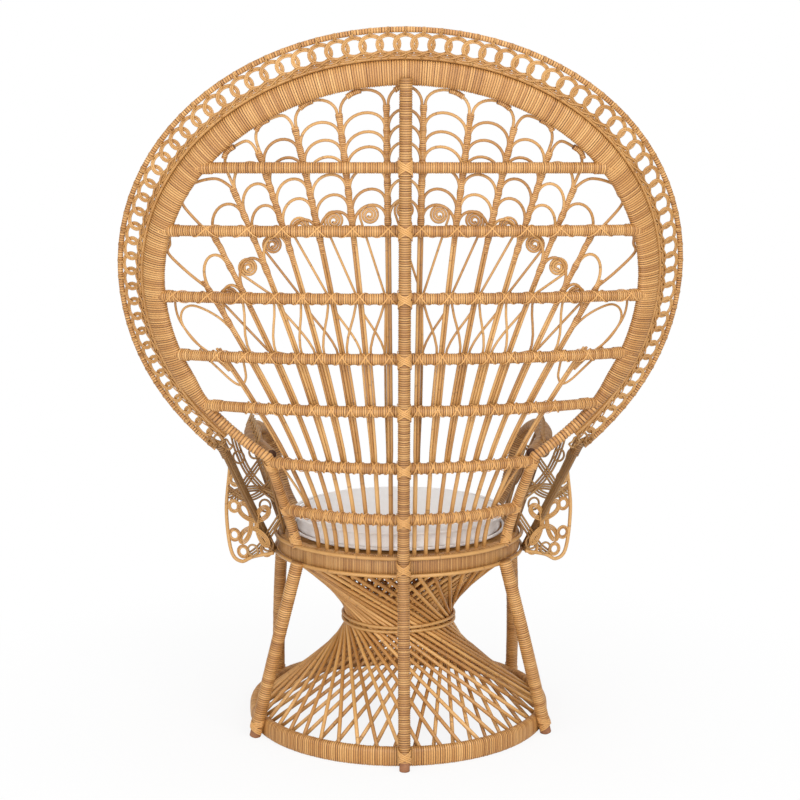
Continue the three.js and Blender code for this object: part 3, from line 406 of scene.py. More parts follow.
def lay(shape, points, guides, outline, closed=False, tone=None, sizes=None):
    """Lays one bare cane through its points. Its ends are eased in so that they look cut and sanded."""
    path = Path(points, guides, closed)
    tone = chance.random() if tone is None else tone
    lift = chance.random()
    frames, marks = [], []
    count = len(path.points) - 1 if closed else len(path.points)
    for index in range(count):
        size = sizes[index] if sizes else 1.0
        frames.append(path.frame(path.reach[index], size, size))
        marks.append((tone, 1.0, path.reach[index] + lift))
    if not closed:
        cut = min(CUT_EASE, path.length / 4)
        first, last = (sizes[0], sizes[-1]) if sizes else (1.0, 1.0)
        frames[0] = path.frame(0.0, CUT_SHARE * first, CUT_SHARE * first)
        frames.insert(1, path.frame(cut, first, first))
        marks.insert(1, marks[0])
        frames.insert(-1, path.frame(path.length - cut, last, last))
        marks.insert(-1, marks[-1])
        frames[-1] = path.frame(path.length, CUT_SHARE * last, CUT_SHARE * last)
    pull(shape, frames, marks, outline, closed)


def cage_layer(waist, foot_radius, foot_height, head_radius, hand, turn_share):
    """One layer of rods. Each touches the waist's circle and leans one way round it."""
    run = math.sqrt(foot_radius ** 2 - waist ** 2)
    rise = math.sqrt(head_radius ** 2 - waist ** 2)
    layer = start_piece()
    for rod in range(ROD_COUNT):
        turn = math.tau * (rod + turn_share) / ROD_COUNT + chance.uniform(-ROD_DRIFT, ROD_DRIFT)
        out = Vector((math.cos(turn), math.sin(turn), 0))
        round_way = Vector((-math.sin(turn), math.cos(turn), 0)) * hand
        points = []
        for step in range(ROD_STEPS + 1):
            share = step / ROD_STEPS
            reach = -run + (run + rise) * share
            height = foot_height + (CAGE_HEAD_HEIGHT - foot_height) * share
            bow = ROD_BOW * math.sin(math.pi * share) * chance.uniform(-1, 1)
            points.append(out * (waist + bow * 0.3) + round_way * reach + UP * (height + bow))
        lay(layer, points, out, round_bar(ROD_RADIUS, 8))
    return layer


# The cage gets its own copy of the cane, made lighter (1.06 against 0.90): painted light on the cage, which
# the lamps light too little under the seat.
cane = cane_finish("peeled_cane", 0.90)
painted_light_cage_cane = cane_finish("painted_light_cage_cane", 1.06)
for name, sizes in (
        ("outer", (OUTER_WAIST, BASE_RADIUS, OUTER_FOOT_HEIGHT, OUTER_HEAD, -1, 0.5)),
        ("inner", (INNER_WAIST, INNER_FOOT, INNER_FOOT_HEIGHT, INNER_HEAD, 1, 0.0))):
    layer = cage_layer(*sizes)
    add_piece(layer, f"cage_{name}_canes", painted_light_cage_cane,
              [f"cage_{name}_panel_{panel}" for panel in (1, 2, 3)])


# Waist bands. Two thin canes bent round the narrowest part of the cage, one above the other and not
# quite level. They hold the two layers of rods in to the waist.
WAIST_BAND_RADIUS = 0.0035
WAIST_BAND_REACH = 0.1222
WAIST_BAND_PARTS = 72
WAIST_BAND_APART = 0.0052
WAIST_BAND_WAVE = 0.0014
for way, name in ((1, "upper"), (-1, "lower")):
    shape = start_piece()
    points = []
    for part in range(WAIST_BAND_PARTS):
        angle = math.tau * part / WAIST_BAND_PARTS
        height = WAIST_HEIGHT + way * (WAIST_BAND_APART + WAIST_BAND_WAVE * math.sin(3 * angle + way))
        points.append((WAIST_BAND_REACH * math.cos(angle), WAIST_BAND_REACH * math.sin(angle), height))
    lay(shape, points, UP, round_bar(WAIST_BAND_RADIUS, 10), closed=True, tone=0.75)
    add_piece(shape, f"waist_band_{name}_cane", cane, [f"waist_band_{name}"])


# Seat ring. A hoop of two bent poles, bound over with fine split cane that stands upright on the
# apron. A bead of round cane runs along its top and bottom edge, outside the posts and the legs.
SEAT_RADIUS = 0.264
SEAT_RING_HALF_THICK = 0.013
SEAT_RING_MIDDLE = 0.398
SEAT_RING_HALF_HEIGHT = 0.022
SEAT_WRAP = 0.0034
BEAD_RADIUS = 0.004
BEAD_REACH = SEAT_RADIUS + 0.0043
BEAD_HEIGHTS = ((0.416, "upper"), (0.380, "lower"))


def level_ring(shape, reach, height, parts, radius, tone):
    """Lays one closed, level ring of cane or piping."""
    ring = circle_path(reach, height, parts, UP)
    lay(shape, ring.points[:-1], UP, round_bar(radius, 8), closed=True, tone=tone)


# A darker copy of the binding for the seat apron and the spine: painted shade.
shaded_binding = binding_finish("shaded_binding", 0.86)
shape = start_piece()
bind(shape, circle_path(SEAT_RADIUS - SEAT_RING_HALF_THICK, SEAT_RING_MIDDLE, 240),
     section(SEAT_RING_HALF_THICK, SEAT_RING_HALF_HEIGHT, 14, 4.0), SEAT_WRAP, 0.045)
add_piece(shape, "seat_ring_bound", shaded_binding, ["seat_ring"])
for height, name in BEAD_HEIGHTS:
    shape = start_piece()
    level_ring(shape, BEAD_REACH, height, 160, BEAD_RADIUS, 0.6)
    add_piece(shape, f"seat_bead_{name}_cane", cane, [f"seat_bead_{name}"])


# Seat deck. Round canes laid side by side across the seat ring and nailed to it, with thin canes
# woven through them. Two bars under them are let into the ring. The cushion hides all of this.
DECK_RADIUS = 0.2375
DECK_HEIGHT = 0.409
DECK_CANE = 0.0037
DECK_PITCH = 0.0088
WEAVER_PITCH = 0.047
WEAVER_INSET = 0.004
WEAVER_SWING = 0.0027
BAR_DEPTH = 0.090
BAR_INSET = 0.016
BAR_RADIUS = 0.008
BAR_END_HEIGHT = 0.3967
BAR_MIDDLE_HEIGHT = 0.3962
shape = start_piece()
row = -DECK_RADIUS + DECK_PITCH
while row < DECK_RADIUS - DECK_CANE:
    reach = math.sqrt(DECK_RADIUS ** 2 - row ** 2)
    lay(shape, [(-reach, row, DECK_HEIGHT), (0, row, DECK_HEIGHT), (reach, row, DECK_HEIGHT)], UP,
        round_bar(DECK_CANE, 8))
    row += DECK_PITCH
for column in range(-4, 5):
    across = column * WEAVER_PITCH
    reach = math.sqrt(DECK_RADIUS ** 2 - across ** 2) - WEAVER_INSET
    steps = max(round(2 * reach / DECK_PITCH), 2)
    points = [(across, -reach + 2 * reach * step / steps,
               DECK_HEIGHT + (WEAVER_SWING if step % 2 else -WEAVER_SWING)) for step in range(steps + 1)]
    lay(shape, points, SIDEWAYS, section(0.0026, 0.0012, 6))
add_piece(shape, "seat_deck_woven", cane, ["seat_deck"])
for way, name in ((-1, "front"), (1, "rear")):
    shape = start_piece()
    depth = way * BAR_DEPTH
    reach = math.sqrt(SEAT_RADIUS ** 2 - depth ** 2) - BAR_INSET
    points = [(-reach, depth, BAR_END_HEIGHT), (0, depth, BAR_MIDDLE_HEIGHT), (reach, depth, BAR_END_HEIGHT)]
    lay(shape, points, UP, round_bar(BAR_RADIUS, 12))
    add_piece(shape, f"seat_bar_{name}_pole", cane, [f"seat_bar_{name}"])


# Seat cushion. A loose round pad of soft filling in an off-white cotton cover: two round panels
# and a side band, with a piped seam along both edges. It lies on the deck inside the seat ring.
CUSHION_RADIUS = 0.2265
CUSHION_BOTTOM = 0.4145
CUSHION_SIDE = 0.047
CUSHION_CROWN = 0.008
CUSHION_SWELL = 0.005
LOWER_SEAM = 0.24
UPPER_SEAM = 0.92
PIPING_RADIUS = 0.0032
PIPING_LIFT = 0.0016
FILLING_PRESSURE = 4
FILLING_FRAMES = 20
FILLING_GRAIN = 0.006
DECK_CLEARANCE = 0.0004
profile = [(0.0, 0.0), (0.6, 0.0), (0.86, 0.05), (0.97, 0.16), (1.0, LOWER_SEAM),
           (0.99, 0.58), (1.0, UPPER_SEAM), (0.95, 1.0), (0.6, 1.0), (0.0, 1.0)]
pad = bmesh.new()
spots = [pad.verts.new((share * CUSHION_RADIUS, 0, CUSHION_BOTTOM + lift * CUSHION_SIDE
                        + (CUSHION_CROWN * (1 - share ** 2) if lift == 1.0 else 0)))
         for share, lift in profile]
seam_edges = [pad.edges.new(pair) for pair in zip(spots, spots[1:])]
bmesh.ops.subdivide_edges(pad, edges=seam_edges, cuts=3)
bmesh.ops.spin(pad, geom=pad.verts[:] + pad.edges[:], cent=(0, 0, 0), axis=(0, 0, 1),
               angle=math.tau, steps=72, use_merge=True, use_duplicate=False)
bmesh.ops.remove_doubles(pad, verts=pad.verts, dist=0.0002)
bmesh.ops.recalc_face_normals(pad, faces=pad.faces)
bmesh.ops.translate(pad, vec=CHAIR_CENTRE, verts=pad.verts)
cushion = put_in_scene("cushion_cover", mesh_from(pad, "cushion_cover"))


def swell(piece, voxel, cap):
    """Fills the cover by a cloth simulation under pressure. No point moves further than the cap."""
    piece.data.remesh_voxel_size = voxel
    bpy.context.view_layer.objects.active = piece
    piece.select_set(True)
    bpy.ops.object.voxel_remesh()
    start = [corner.co.copy() for corner in piece.data.vertices]
    cloth = piece.modifiers.new("filling", "CLOTH")
    cloth.settings.use_pressure = True
    cloth.settings.uniform_pressure_force = FILLING_PRESSURE
    cloth.settings.effector_weights.gravity = 0
    cloth.point_cache.frame_start = 1
    cloth.point_cache.frame_end = FILLING_FRAMES
    for moment in range(1, FILLING_FRAMES + 1):
        bpy.context.scene.frame_set(moment)
    swollen = piece.evaluated_get(bpy.context.evaluated_depsgraph_get())
    ends = [corner.co.copy() for corner in swollen.data.vertices]
    piece.modifiers.remove(cloth)
    bpy.context.scene.frame_set(1)
    for corner, before, after in zip(piece.data.vertices, start, ends):
        move = after - before
        corner.co = before + move * min(1.0, cap / max(move.length, 1e-9))
        corner.co.z = max(corner.co.z, CUSHION_BOTTOM - DECK_CLEARANCE)


swell(cushion, FILLING_GRAIN, CUSHION_SWELL)
smoother = cushion.modifiers.new("smoother", "SUBSURF")
smoother.levels = 1
smoother.render_levels = 1
cushion.data.shade_smooth()
cotton = Finish("cushion_cotton", Sheen_Weight=0.25, Sheen_Roughness=0.5)
where = cotton.node("ShaderNodeTexCoord", {}, {}).outputs["Object"]
threads = []
for direction in ("X", "Y"):
    made = cotton.node("ShaderNodeTexWave", {"wave_type": "BANDS", "bands_direction": direction}, {
        "Vector": where, "Scale": 420.0, "Distortion": 1.2, "Detail": 2.0})
    threads.append(Amount(cotton, made.outputs["Fac"]))
weave = threads[0] * 0.5 + threads[1] * 0.5
slub = cotton.noise(38, 5, 0.6)
cotton.surface("Base Color", cotton.ramp(weave * 0.45 + slub * 0.55, [
    (0.0, (0.850, 0.815, 0.795)), (1.0, (0.955, 0.935, 0.918))]))
cotton.surface("Roughness", 0.82 + 0.14 * slub)
cotton.bump(weave * 0.7 + slub * 0.6, 0.35, 0.0009)
cushion.data.materials.append(cotton.material)
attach(cushion, "cushion")
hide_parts("seat_cushion")
for seam, name in ((LOWER_SEAM, "lower"), (UPPER_SEAM, "upper")):
    shape = start_piece()
    level_ring(shape, CUSHION_RADIUS + PIPING_LIFT, CUSHION_BOTTOM + seam * CUSHION_SIDE, 120,
               PIPING_RADIUS, 0.5)
    add_piece(shape, f"cushion_piping_{name}", cotton.material, [], body="cushion")


# Legs. Four poles bound with cane that lean out from under the seat ring to the floor, outside the
# base ring. Their feet are bare, cut square, and each is lashed to the base ring with crossed cane.
LEG_RADIUS = 0.013
LEG_BOUND = 0.0138
LEG_WRAP = 0.0047
BARE_FOOT = 0.016
FOOT_REACH = 0.3423
LEG_HEAD_REACH = 0.277
LEG_HEAD_HEIGHT = 0.386
LEG_BOW = 0.004
LEG_ANGLES = (("rear", 39, 25), ("front", -22, -37))
FOOT_SHARE = 0.93
FOOT_EDGE = 0.004
FOOT_LASHING_HEIGHT = 0.026
FOOT_LASHING_LEAN = 0.011
STRIP_SWEEP = 115
STRIP_HALF_WIDTH = 0.0019
STRIP_HALF_THICK = 0.0007
STRIP_LAYERS = ((0.0008, 1), (0.0016, -1))
LASHING_STRANDS = 3
LASHING_SPACING = 0.0042
timber = Finish("bare_pole_end", IOR=1.48)
ageing = timber.noise(55, 5, 0.7)
fibre = timber.noise(620, 3, 0.6)
timber.surface("Base Color", timber.ramp(ageing * 0.7 + fibre * 0.4, [
    (0.25, (0.130, 0.042, 0.016)), (0.85, (0.430, 0.190, 0.082))]))
timber.surface("Roughness", 0.5 + 0.3 * fibre)
timber.bump(fibre, 0.4, 0.0008)


def polar(radius, degrees, height):
    angle = math.radians(degrees)
    return Vector((radius * math.cos(angle), radius * math.sin(angle), height))


def wrapped_strip(shape, centre, axis, facing, radius, lean):
    """One strip of split cane laid slantwise round a pole, on the side that faces one way."""
    axis = axis.normalized()
    facing = (facing - axis * facing.dot(axis)).normalized()
    across = axis.cross(facing)
    points, guides = [], []
    for step in range(11):
        angle = math.radians(STRIP_SWEEP) * (step / 5 - 1)
        out = facing * math.cos(angle) + across * math.sin(angle)
        points.append(centre + out * radius + axis * (lean * (step / 5 - 1)))
        guides.append(out)
    lay(shape, points, guides, section(STRIP_HALF_THICK, STRIP_HALF_WIDTH, 6), tone=0.88)


def crossed_lashing(shape, centre, axis, facing, radius, lean):
    """A lashing of crossed strips: a few strands one way, then a few the other way over them."""
    for lift, way in STRIP_LAYERS:
        for strand in range(LASHING_STRANDS):
            shift = axis.normalized() * ((strand - (LASHING_STRANDS - 1) / 2) * LASHING_SPACING)
            wrapped_strip(shape, centre + shift, axis, facing, radius + lift, way * lean)


def bare_foot(shape, foot, along, radius):
    """The bare end of a pole, below its binding."""
    places = [foot, foot + along * FOOT_EDGE, foot + along * (BARE_FOOT + FOOT_EDGE)]
    lay(shape, places, BACKWARD, round_bar(radius * FOOT_SHARE, 14))


foot_lashings = start_piece()
for side, side_name in SIDES:
    for part, top_angle, foot_angle in LEG_ANGLES:
        head = polar(LEG_HEAD_REACH, top_angle, LEG_HEAD_HEIGHT)
        foot = polar(FOOT_REACH, foot_angle, 0)
        for place in (head, foot):
            place.x *= side
        bow = (head - foot).cross(UP).normalized() * (LEG_BOW * side)
        points = [foot.lerp(head, step / 12) + bow * math.sin(math.pi * step / 12) for step in range(13)]
        leg = f"{part}_leg_{side_name}"
        path = Path(points, BACKWARD)
        shape = start_piece()
        bind(shape, path, round_bar(LEG_BOUND, 12), LEG_WRAP, 0.075, start=BARE_FOOT)
        add_piece(shape, f"{leg}_bound", binding, [leg])
        shape = start_piece()
        along = (head - foot).normalized()
        bare_foot(shape, foot, along, LEG_RADIUS)
        bmesh.ops.bisect_plane(shape, geom=shape.verts[:] + shape.edges[:] + shape.faces[:],
                               plane_co=(0, 0, 0), plane_no=(0, 0, 1), clear_inner=True)
        bmesh.ops.holes_fill(shape, edges=shape.edges)
        add_piece(shape, f"{leg}_foot", timber.material, [])
        out = polar(1, foot_angle, 0)
        out.x *= side
        crossed_lashing(foot_lashings, foot + along * FOOT_LASHING_HEIGHT, along, out,
                        LEG_BOUND, FOOT_LASHING_LEAN)
add_piece(foot_lashings, "leg_foot_lashings", binding, [])


# Spine pole. One bound pole behind everything, from the floor up the back of the base ring and the
# seat ring to the top of the hoop. Its foot is bare like those of the legs.
SPINE_RADIUS = 0.0115
SPINE_BOUND = 0.0124
SPINE_TOP = 1.357
SPINE_WRAP = 0.0046
KNEE_HEIGHT = 0.398
KNEE_DEPTH = 0.2843
KNEE_SOFTNESS = 0.060
LEAN_MEAN = -0.03
LEAN_SWING = 0.15


def spine_depth(height):
    rise = height - KNEE_HEIGHT
    return KNEE_DEPTH + LEAN_MEAN * rise + LEAN_SWING * (math.hypot(rise, KNEE_SOFTNESS) - KNEE_SOFTNESS)


points = [Vector((0, spine_depth(SPINE_TOP * step / 80), SPINE_TOP * step / 80)) for step in range(81)]
spine_path = Path(points, BACKWARD)
shape = start_piece()
bind(shape, spine_path, round_bar(SPINE_BOUND, 12), SPINE_WRAP, 0.08, start=BARE_FOOT)
add_piece(shape, "spine_bound", shaded_binding, ["spine_post"])
shape = start_piece()
bare_foot(shape, points[0], UP, SPINE_RADIUS)
add_piece(shape, "spine_foot", timber.material, [])


# Back hoop. A wide flat band of bent poles that forms the edge of the back, bound across with cane.
# Below the fifth rail it narrows into a round post on each side that goes on down to the seat.
SEAT_TOP = 0.420
RAIL_RADIUS = 0.0095
RAIL_TO_SPINE = RAIL_RADIUS + 0.0003 + SPINE_RADIUS
SEAT_CURVE = 1 / (KNEE_DEPTH - RAIL_TO_SPINE)
BACK_FADE = 0.190
BACK_EDGE_SAG = 0.040
BACK_EDGE_REACH = 0.460
BACK_EDGE_POWER = 3.5
HOOP_HALF_WIDTH = 0.490
HOOP_CENTRE = 0.967
HOOP_RISE = 0.401
HOOP_FALL = 0.425
HOOP_HALF_BAND = 0.0235
HOOP_HALF_THICK = 0.011
HOOP_END = 126
HOOP_WRAP = 0.0046
HOOP_TAPER = 0.075
POST_KNEE = 146.5
POST_RADIUS = 0.011
POST_FOOT = 0.217
POST_SINK = 0.008
POST_UPPER_WRAP = 0.0072
POST_LOWER_WRAP = 0.0052


def back_depth(x, z):
    climb = max(z - SEAT_TOP, 0) / BACK_FADE
    fade = 1 / (1 + climb ** 2)
    radius = 1 / (SEAT_CURVE * fade)
    inside = min(abs(x), 0.98 * radius)
    sag = radius - math.sqrt(radius ** 2 - inside ** 2)
    edge = (abs(x) / BACK_EDGE_REACH) ** BACK_EDGE_POWER
    return spine_depth(z) - RAIL_TO_SPINE - sag - BACK_EDGE_SAG * (1 - fade) * edge


def back_normal(x, z):
    step = 0.001
    slope_x = (back_depth(x + step, z) - back_depth(x - step, z)) / (2 * step)
    slope_z = (back_depth(x, z + step) - back_depth(x, z - step)) / (2 * step)
    return Vector((-slope_x, 1, -slope_z)).normalized()


def on_back(x, z, offset=0.0):
    return Vector((x, back_depth(x, z), z)) + back_normal(x, z) * offset


def back_path(charts, offset=0.0):
    """A line over the back through chart points, with the face of the back as its guide."""
    return Path([on_back(x, z, offset) for x, z in charts], [back_normal(x, z) for x, z in charts])


def hoop_chart(degrees):
    lift = math.cos(math.radians(degrees))
    reach = HOOP_RISE if lift > 0 else HOOP_FALL
    return HOOP_HALF_WIDTH * math.sin(math.radians(degrees)), HOOP_CENTRE + reach * lift


def hoop_half_width(z):
    reach = HOOP_RISE if z > HOOP_CENTRE else HOOP_FALL
    return HOOP_HALF_WIDTH * math.sqrt(max(1 - ((z - HOOP_CENTRE) / reach) ** 2, 0))


def beside_hoop(start, end, steps, distance):
    """A line that keeps a distance outside the hoop's middle, with the face of the back as its guide."""
    charts = [hoop_chart(start + (end - start) * step / steps) for step in range(steps + 1)]
    path = back_path(charts)
    points, faces = [], []
    for index, place in enumerate(path.points):
        along = path.tangent(index)
        normal = path.guides[index]
        face = (normal - along * normal.dot(along)).normalized()
        points.append(place + along.cross(face) * distance)
        faces.append(face)
    return Path(points, faces)


def ease(value, low, high):
    """A share from 0 to 1 that starts and ends gently."""
    share = min(max((value - low) / (high - low), 0.0), 1.0)
    return share * share * (3 - 2 * share)


hoop_path = beside_hoop(-HOOP_END, HOOP_END, 180, 0.0)


def hoop_width(length):
    least = POST_RADIUS / HOOP_HALF_BAND
    return 1.0, least + (1 - least) * ease(min(length, hoop_path.length - length), 0.0, HOOP_TAPER)


shape = start_piece()
bind(shape, hoop_path, section(HOOP_HALF_THICK, HOOP_HALF_BAND, 16, 2.6), HOOP_WRAP, 0.06, hoop_width)
add_piece(shape, "back_hoop_bound", binding, ["back_hoop"])

knee_x, knee_z = hoop_chart(POST_KNEE)
POST_SLOPE = (knee_x - POST_FOOT) / (knee_z - SEAT_TOP)


def post_offset(z):
    return hoop_half_width(z) if z > knee_z else POST_FOOT + POST_SLOPE * (z - SEAT_TOP)


post_paths = {}
for side, side_name in SIDES:
    charts = [hoop_chart(HOOP_END - 1 + (POST_KNEE - HOOP_END + 1) * step / 8) for step in range(9)]
    heights = [knee_z + (SEAT_TOP - POST_SINK - knee_z) * step / 12 for step in range(1, 13)]
    charts += [(post_offset(z), z) for z in heights]
    path = back_path([(side * x, z) for x, z in charts])
    post_paths[side] = path
    upper = path.reach[8]
    shape = start_piece()
    bind(shape, path, round_bar(POST_RADIUS, 12), POST_UPPER_WRAP, 0.11, end=upper)
    bind(shape, path, round_bar(POST_RADIUS, 12), POST_LOWER_WRAP, 0.085, start=upper)
    add_piece(shape, f"back_post_{side_name}_bound", binding, [f"back_post_{side_name}"])


# Border. Outside the hoop lie a thin rod, a chain of flat cane rings that lap over each other, and an
# outer rod bound with cane. Small ties of split cane hold each ring to both rods.
BORDER_END = 135
INNER_ROD_LINE = 0.0278
INNER_ROD_RADIUS = 0.004
CHAIN_LINE = 0.0525
OUTER_ROD_LINE = 0.0783
OUTER_ROD_RADIUS = 0.0055
OUTER_ROD_WRAP = 0.0052
RING_PITCH = 0.032
RING_TILT = 0.12
RING_SIZES = ((0.0222, 0.0186), (0.0186, 0.0150))
RING_PARTS = 20
TIE_TURNS = 2
TIE_PARTS = 9
TIE_PITCH = 0.0026
TIE_CANE = 0.0012
WAVE_PARTS = 8
WAVE_LINE = -0.0178
WAVE_SWING = 0.0046
# The inner rod, a thin cane on its outer edge and a dark one down in the seam beside the hoop: place,
# lift, radius, corners and tone.
INNER_CANES = (
    (0.0, 0.0, INNER_ROD_RADIUS, 8, 0.45), (0.0062, 0.002, 0.002, 6, 0.2), (-0.0038, -0.004, 0.0032, 6, 0.0))
shape = start_piece()
for place, lift, radius, corners, tone in INNER_CANES:
    line = beside_hoop(-BORDER_END, BORDER_END, 150, INNER_ROD_LINE + place)
    points = [spot + guide * lift for spot, guide in zip(line.points, line.guides)]
    lay(shape, points, line.guides, round_bar(radius, corners), tone=tone)
add_piece(shape, "border_inner_canes", cane, ["border_inner_rod"])
shape = start_piece()
outer_rod = beside_hoop(-BORDER_END, BORDER_END, 180, OUTER_ROD_LINE)
bind(shape, outer_rod, round_bar(OUTER_ROD_RADIUS, 9), OUTER_ROD_WRAP, 0.09)
add_piece(shape, "border_outer_bound", binding, ["border_outer_rod"])


def coil(shape, centre, axis, facing, half_out, half_across):
    """A tie: a few turns of split cane round two canes that lie side by side."""
    axis = axis.normalized()
    facing = (facing - axis * facing.dot(axis)).normalized()
    across = axis.cross(facing)
    points, guides = [], []
    for step in range(TIE_TURNS * TIE_PARTS + 1):
        angle = math.tau * step / TIE_PARTS
        points.append(centre + facing * (half_out * math.cos(angle))
                      + across * (half_across * math.sin(angle))
                      + axis * (TIE_PITCH * (step / TIE_PARTS - TIE_TURNS / 2)))
        guides.append(facing * math.cos(angle) + across * math.sin(angle))
    lay(shape, points, guides, section(TIE_CANE * 0.6, TIE_CANE, 5))


chain_path = beside_hoop(-BORDER_END, BORDER_END, 240, CHAIN_LINE)
ring_count = round(chain_path.length / RING_PITCH)
ring_pitch = chain_path.length / ring_count
rings = start_piece()
ties = start_piece()
for ring in range(ring_count):
    here = chain_path.frame((ring + 0.5) * ring_pitch)
    face, outward, along = here.col[0].xyz, here.col[1].xyz, here.col[2].xyz
    tone = chance.uniform(0.35, 0.75)
    for reach_along, reach_out in RING_SIZES:
        points = []
        for part in range(RING_PARTS):
            angle = math.tau * part / RING_PARTS
            lift = RING_TILT * math.cos(angle) * reach_along
            points.append(here.translation + along * (reach_along * math.cos(angle))
                          + outward * (reach_out * math.sin(angle)) + face * lift)
        lay(rings, points, face, section(0.0016, 0.0023, 6), closed=True, tone=tone)
    coil(ties, here.translation + outward * 0.0235, along, face, 0.0068, 0.0078)
    coil(ties, here.translation - outward * 0.0215, along, face, 0.0052, 0.0066)
add_piece(rings, "border_rings", cane, ["border_ring_chain"])
for phase in (0.0, 0.5):
    points, guides = [], []
    for step in range(ring_count * WAVE_PARTS + 1):
        share = step / WAVE_PARTS
        here = chain_path.frame(share * ring_pitch)
        swing = math.tau * (share / 2 + phase)
        points.append(here.translation + here.col[1].xyz * (WAVE_LINE + WAVE_SWING * math.cos(swing))
                      + here.col[0].xyz * (0.0045 + 0.0016 * math.sin(swing)))
        guides.append(here.col[0].xyz)
    lay(ties, points, guides, section(0.0013, 0.0017, 5), tone=0.4)
add_piece(ties, "border_ties", cane, [])


# Border tails. Below the chain the border's canes are gathered side by side into a flat band on each
# side, bound at its head, which runs down outside the arm and is nailed to the seat ring.
TAIL_HALF_BAND = 0.0130
TAIL_CANE = 0.0027
TAIL_NARROWING = 0.5
TAIL_TIE = 0.030
TAIL_TIE_HALF_THICK = 0.0075
TAIL_TIE_EDGE = 0.0015
TAIL_HEAD_TIE = 0.004
TAIL_WRAP = 0.0048
TAIL_FOOT_TIE = 0.046
# Two layers of canes: how many, their inset from the band's edge, their depth and how flat they are.
TAIL_LAYERS = ((5, TAIL_CANE, 0.0, 1.3), (4, 2 * TAIL_CANE, -0.0045, 1))
LOOP_PARTS = 18
END_LOOPS = (
    (-0.006, -0.012, 0.012), (0.004, 0.006, 0.013), (0.012, -0.016, 0.011), (-0.014, 0.010, 0.011))
BEAD_EDGE = BEAD_REACH + BEAD_RADIUS


def smooth(corners, steps):
    """A smooth line through its corners."""
    ends = [corners[0] * 2 - corners[1], *corners, corners[-1] * 2 - corners[-2]]
    spans = len(corners) - 1
    line = []
    for step in range(steps + 1):
        place = spans * step / steps
        span = min(int(place), spans - 1)
        t = place - span
        a, b, c, d = ends[span:span + 4]
        line.append(0.5 * ((2 * b) + (c - a) * t + (2 * a - 5 * b + 4 * c - d) * t ** 2
                           + (3 * b - a - 3 * c + d) * t ** 3))
    return line


def on_side(points, side):
    return [Vector((side * place.x, place.y, place.z)) for place in points]


def loop_points(centre, first, first_reach, second, second_reach, parts):
    """Points round a closed loop of cane that lies between two directions."""
    angles = [math.tau * part / parts for part in range(parts)]
    return [centre + first * (first_reach * math.cos(angle)) + second * (second_reach * math.sin(angle))
            for angle in angles]


def tail_share(path, reach):
    """How much of its width a tail keeps: it narrows on its way down."""
    return 1 - TAIL_NARROWING * reach / path.length


border_end = chain_path.frame(chain_path.length)
border_face, border_out, border_along = (border_end.col[axis].xyz for axis in range(3))
tail_head = border_end.translation - border_along * 0.002
tail_foot = polar(BEAD_EDGE, 8, 0.376)
tail_middle = (tail_head + tail_foot) / 2 + SIDEWAYS * 0.002
# Darker copies of the cane and the binding for the border tails, end loops, arm rails, arm lattice, lace and
# wing web: painted shade for parts that face away from the lamps.
shade_darkened_cane = cane_finish("shade_darkened_cane", 0.60)
shaded_tail_cane = cane_finish("shaded_tail_cane", 0.42)
shaded_tail_binding = binding_finish("shaded_tail_binding", 0.50)
shade_darkened_binding = binding_finish("shade_darkened_binding", 0.72)
tail_paths = {}
for side, side_name in SIDES:
    path = Path(on_side(smooth([tail_head, tail_middle, tail_foot], 16), side), Vector((side, 0, 0.6)))
    tail_paths[side] = path
    shape = start_piece()
    for count, inset, depth, flatness in TAIL_LAYERS:
        for lane in range(count):
            offset = (2 * lane / (count - 1) - 1) * (TAIL_HALF_BAND - inset)
            points = [path.frame(reach) @ Vector((depth, offset * tail_share(path, reach), 0))
                      for reach in path.reach]
            lay(shape, points, path.guides, section(TAIL_CANE * flatness, TAIL_CANE, 8))
    tail_name = f"border_tail_{side_name}"
    add_piece(shape, f"{tail_name}_canes", shaded_tail_cane, [tail_name])
    shape = start_piece()
    band = section(TAIL_TIE_HALF_THICK, TAIL_HALF_BAND + TAIL_TIE_EDGE, 12, 3)
    for start in (TAIL_HEAD_TIE, path.length - TAIL_FOOT_TIE):
        bind(shape, path, band, TAIL_WRAP, 0.06, lambda length: (1.0, tail_share(path, length)),
             start, start + TAIL_TIE)
    add_piece(shape, f"{tail_name}_ties", shaded_tail_binding, [])
    shape = start_piece()
    for along, out, radius in END_LOOPS:
        middle = border_end.translation + border_along * along + border_out * out + border_face * 0.006
        points = loop_points(middle, border_along, radius, border_out, radius, LOOP_PARTS)
        points = [place + border_face * (0.003 * math.sin(part)) for part, place in enumerate(points)]
        lay(shape, on_side(points, side), Vector((side * border_face.x, border_face.y, border_face.z)),
            section(0.0022, 0.0025, 6), closed=True)
    add_piece(shape, f"border_end_loops_{side_name}", shade_darkened_cane, [])


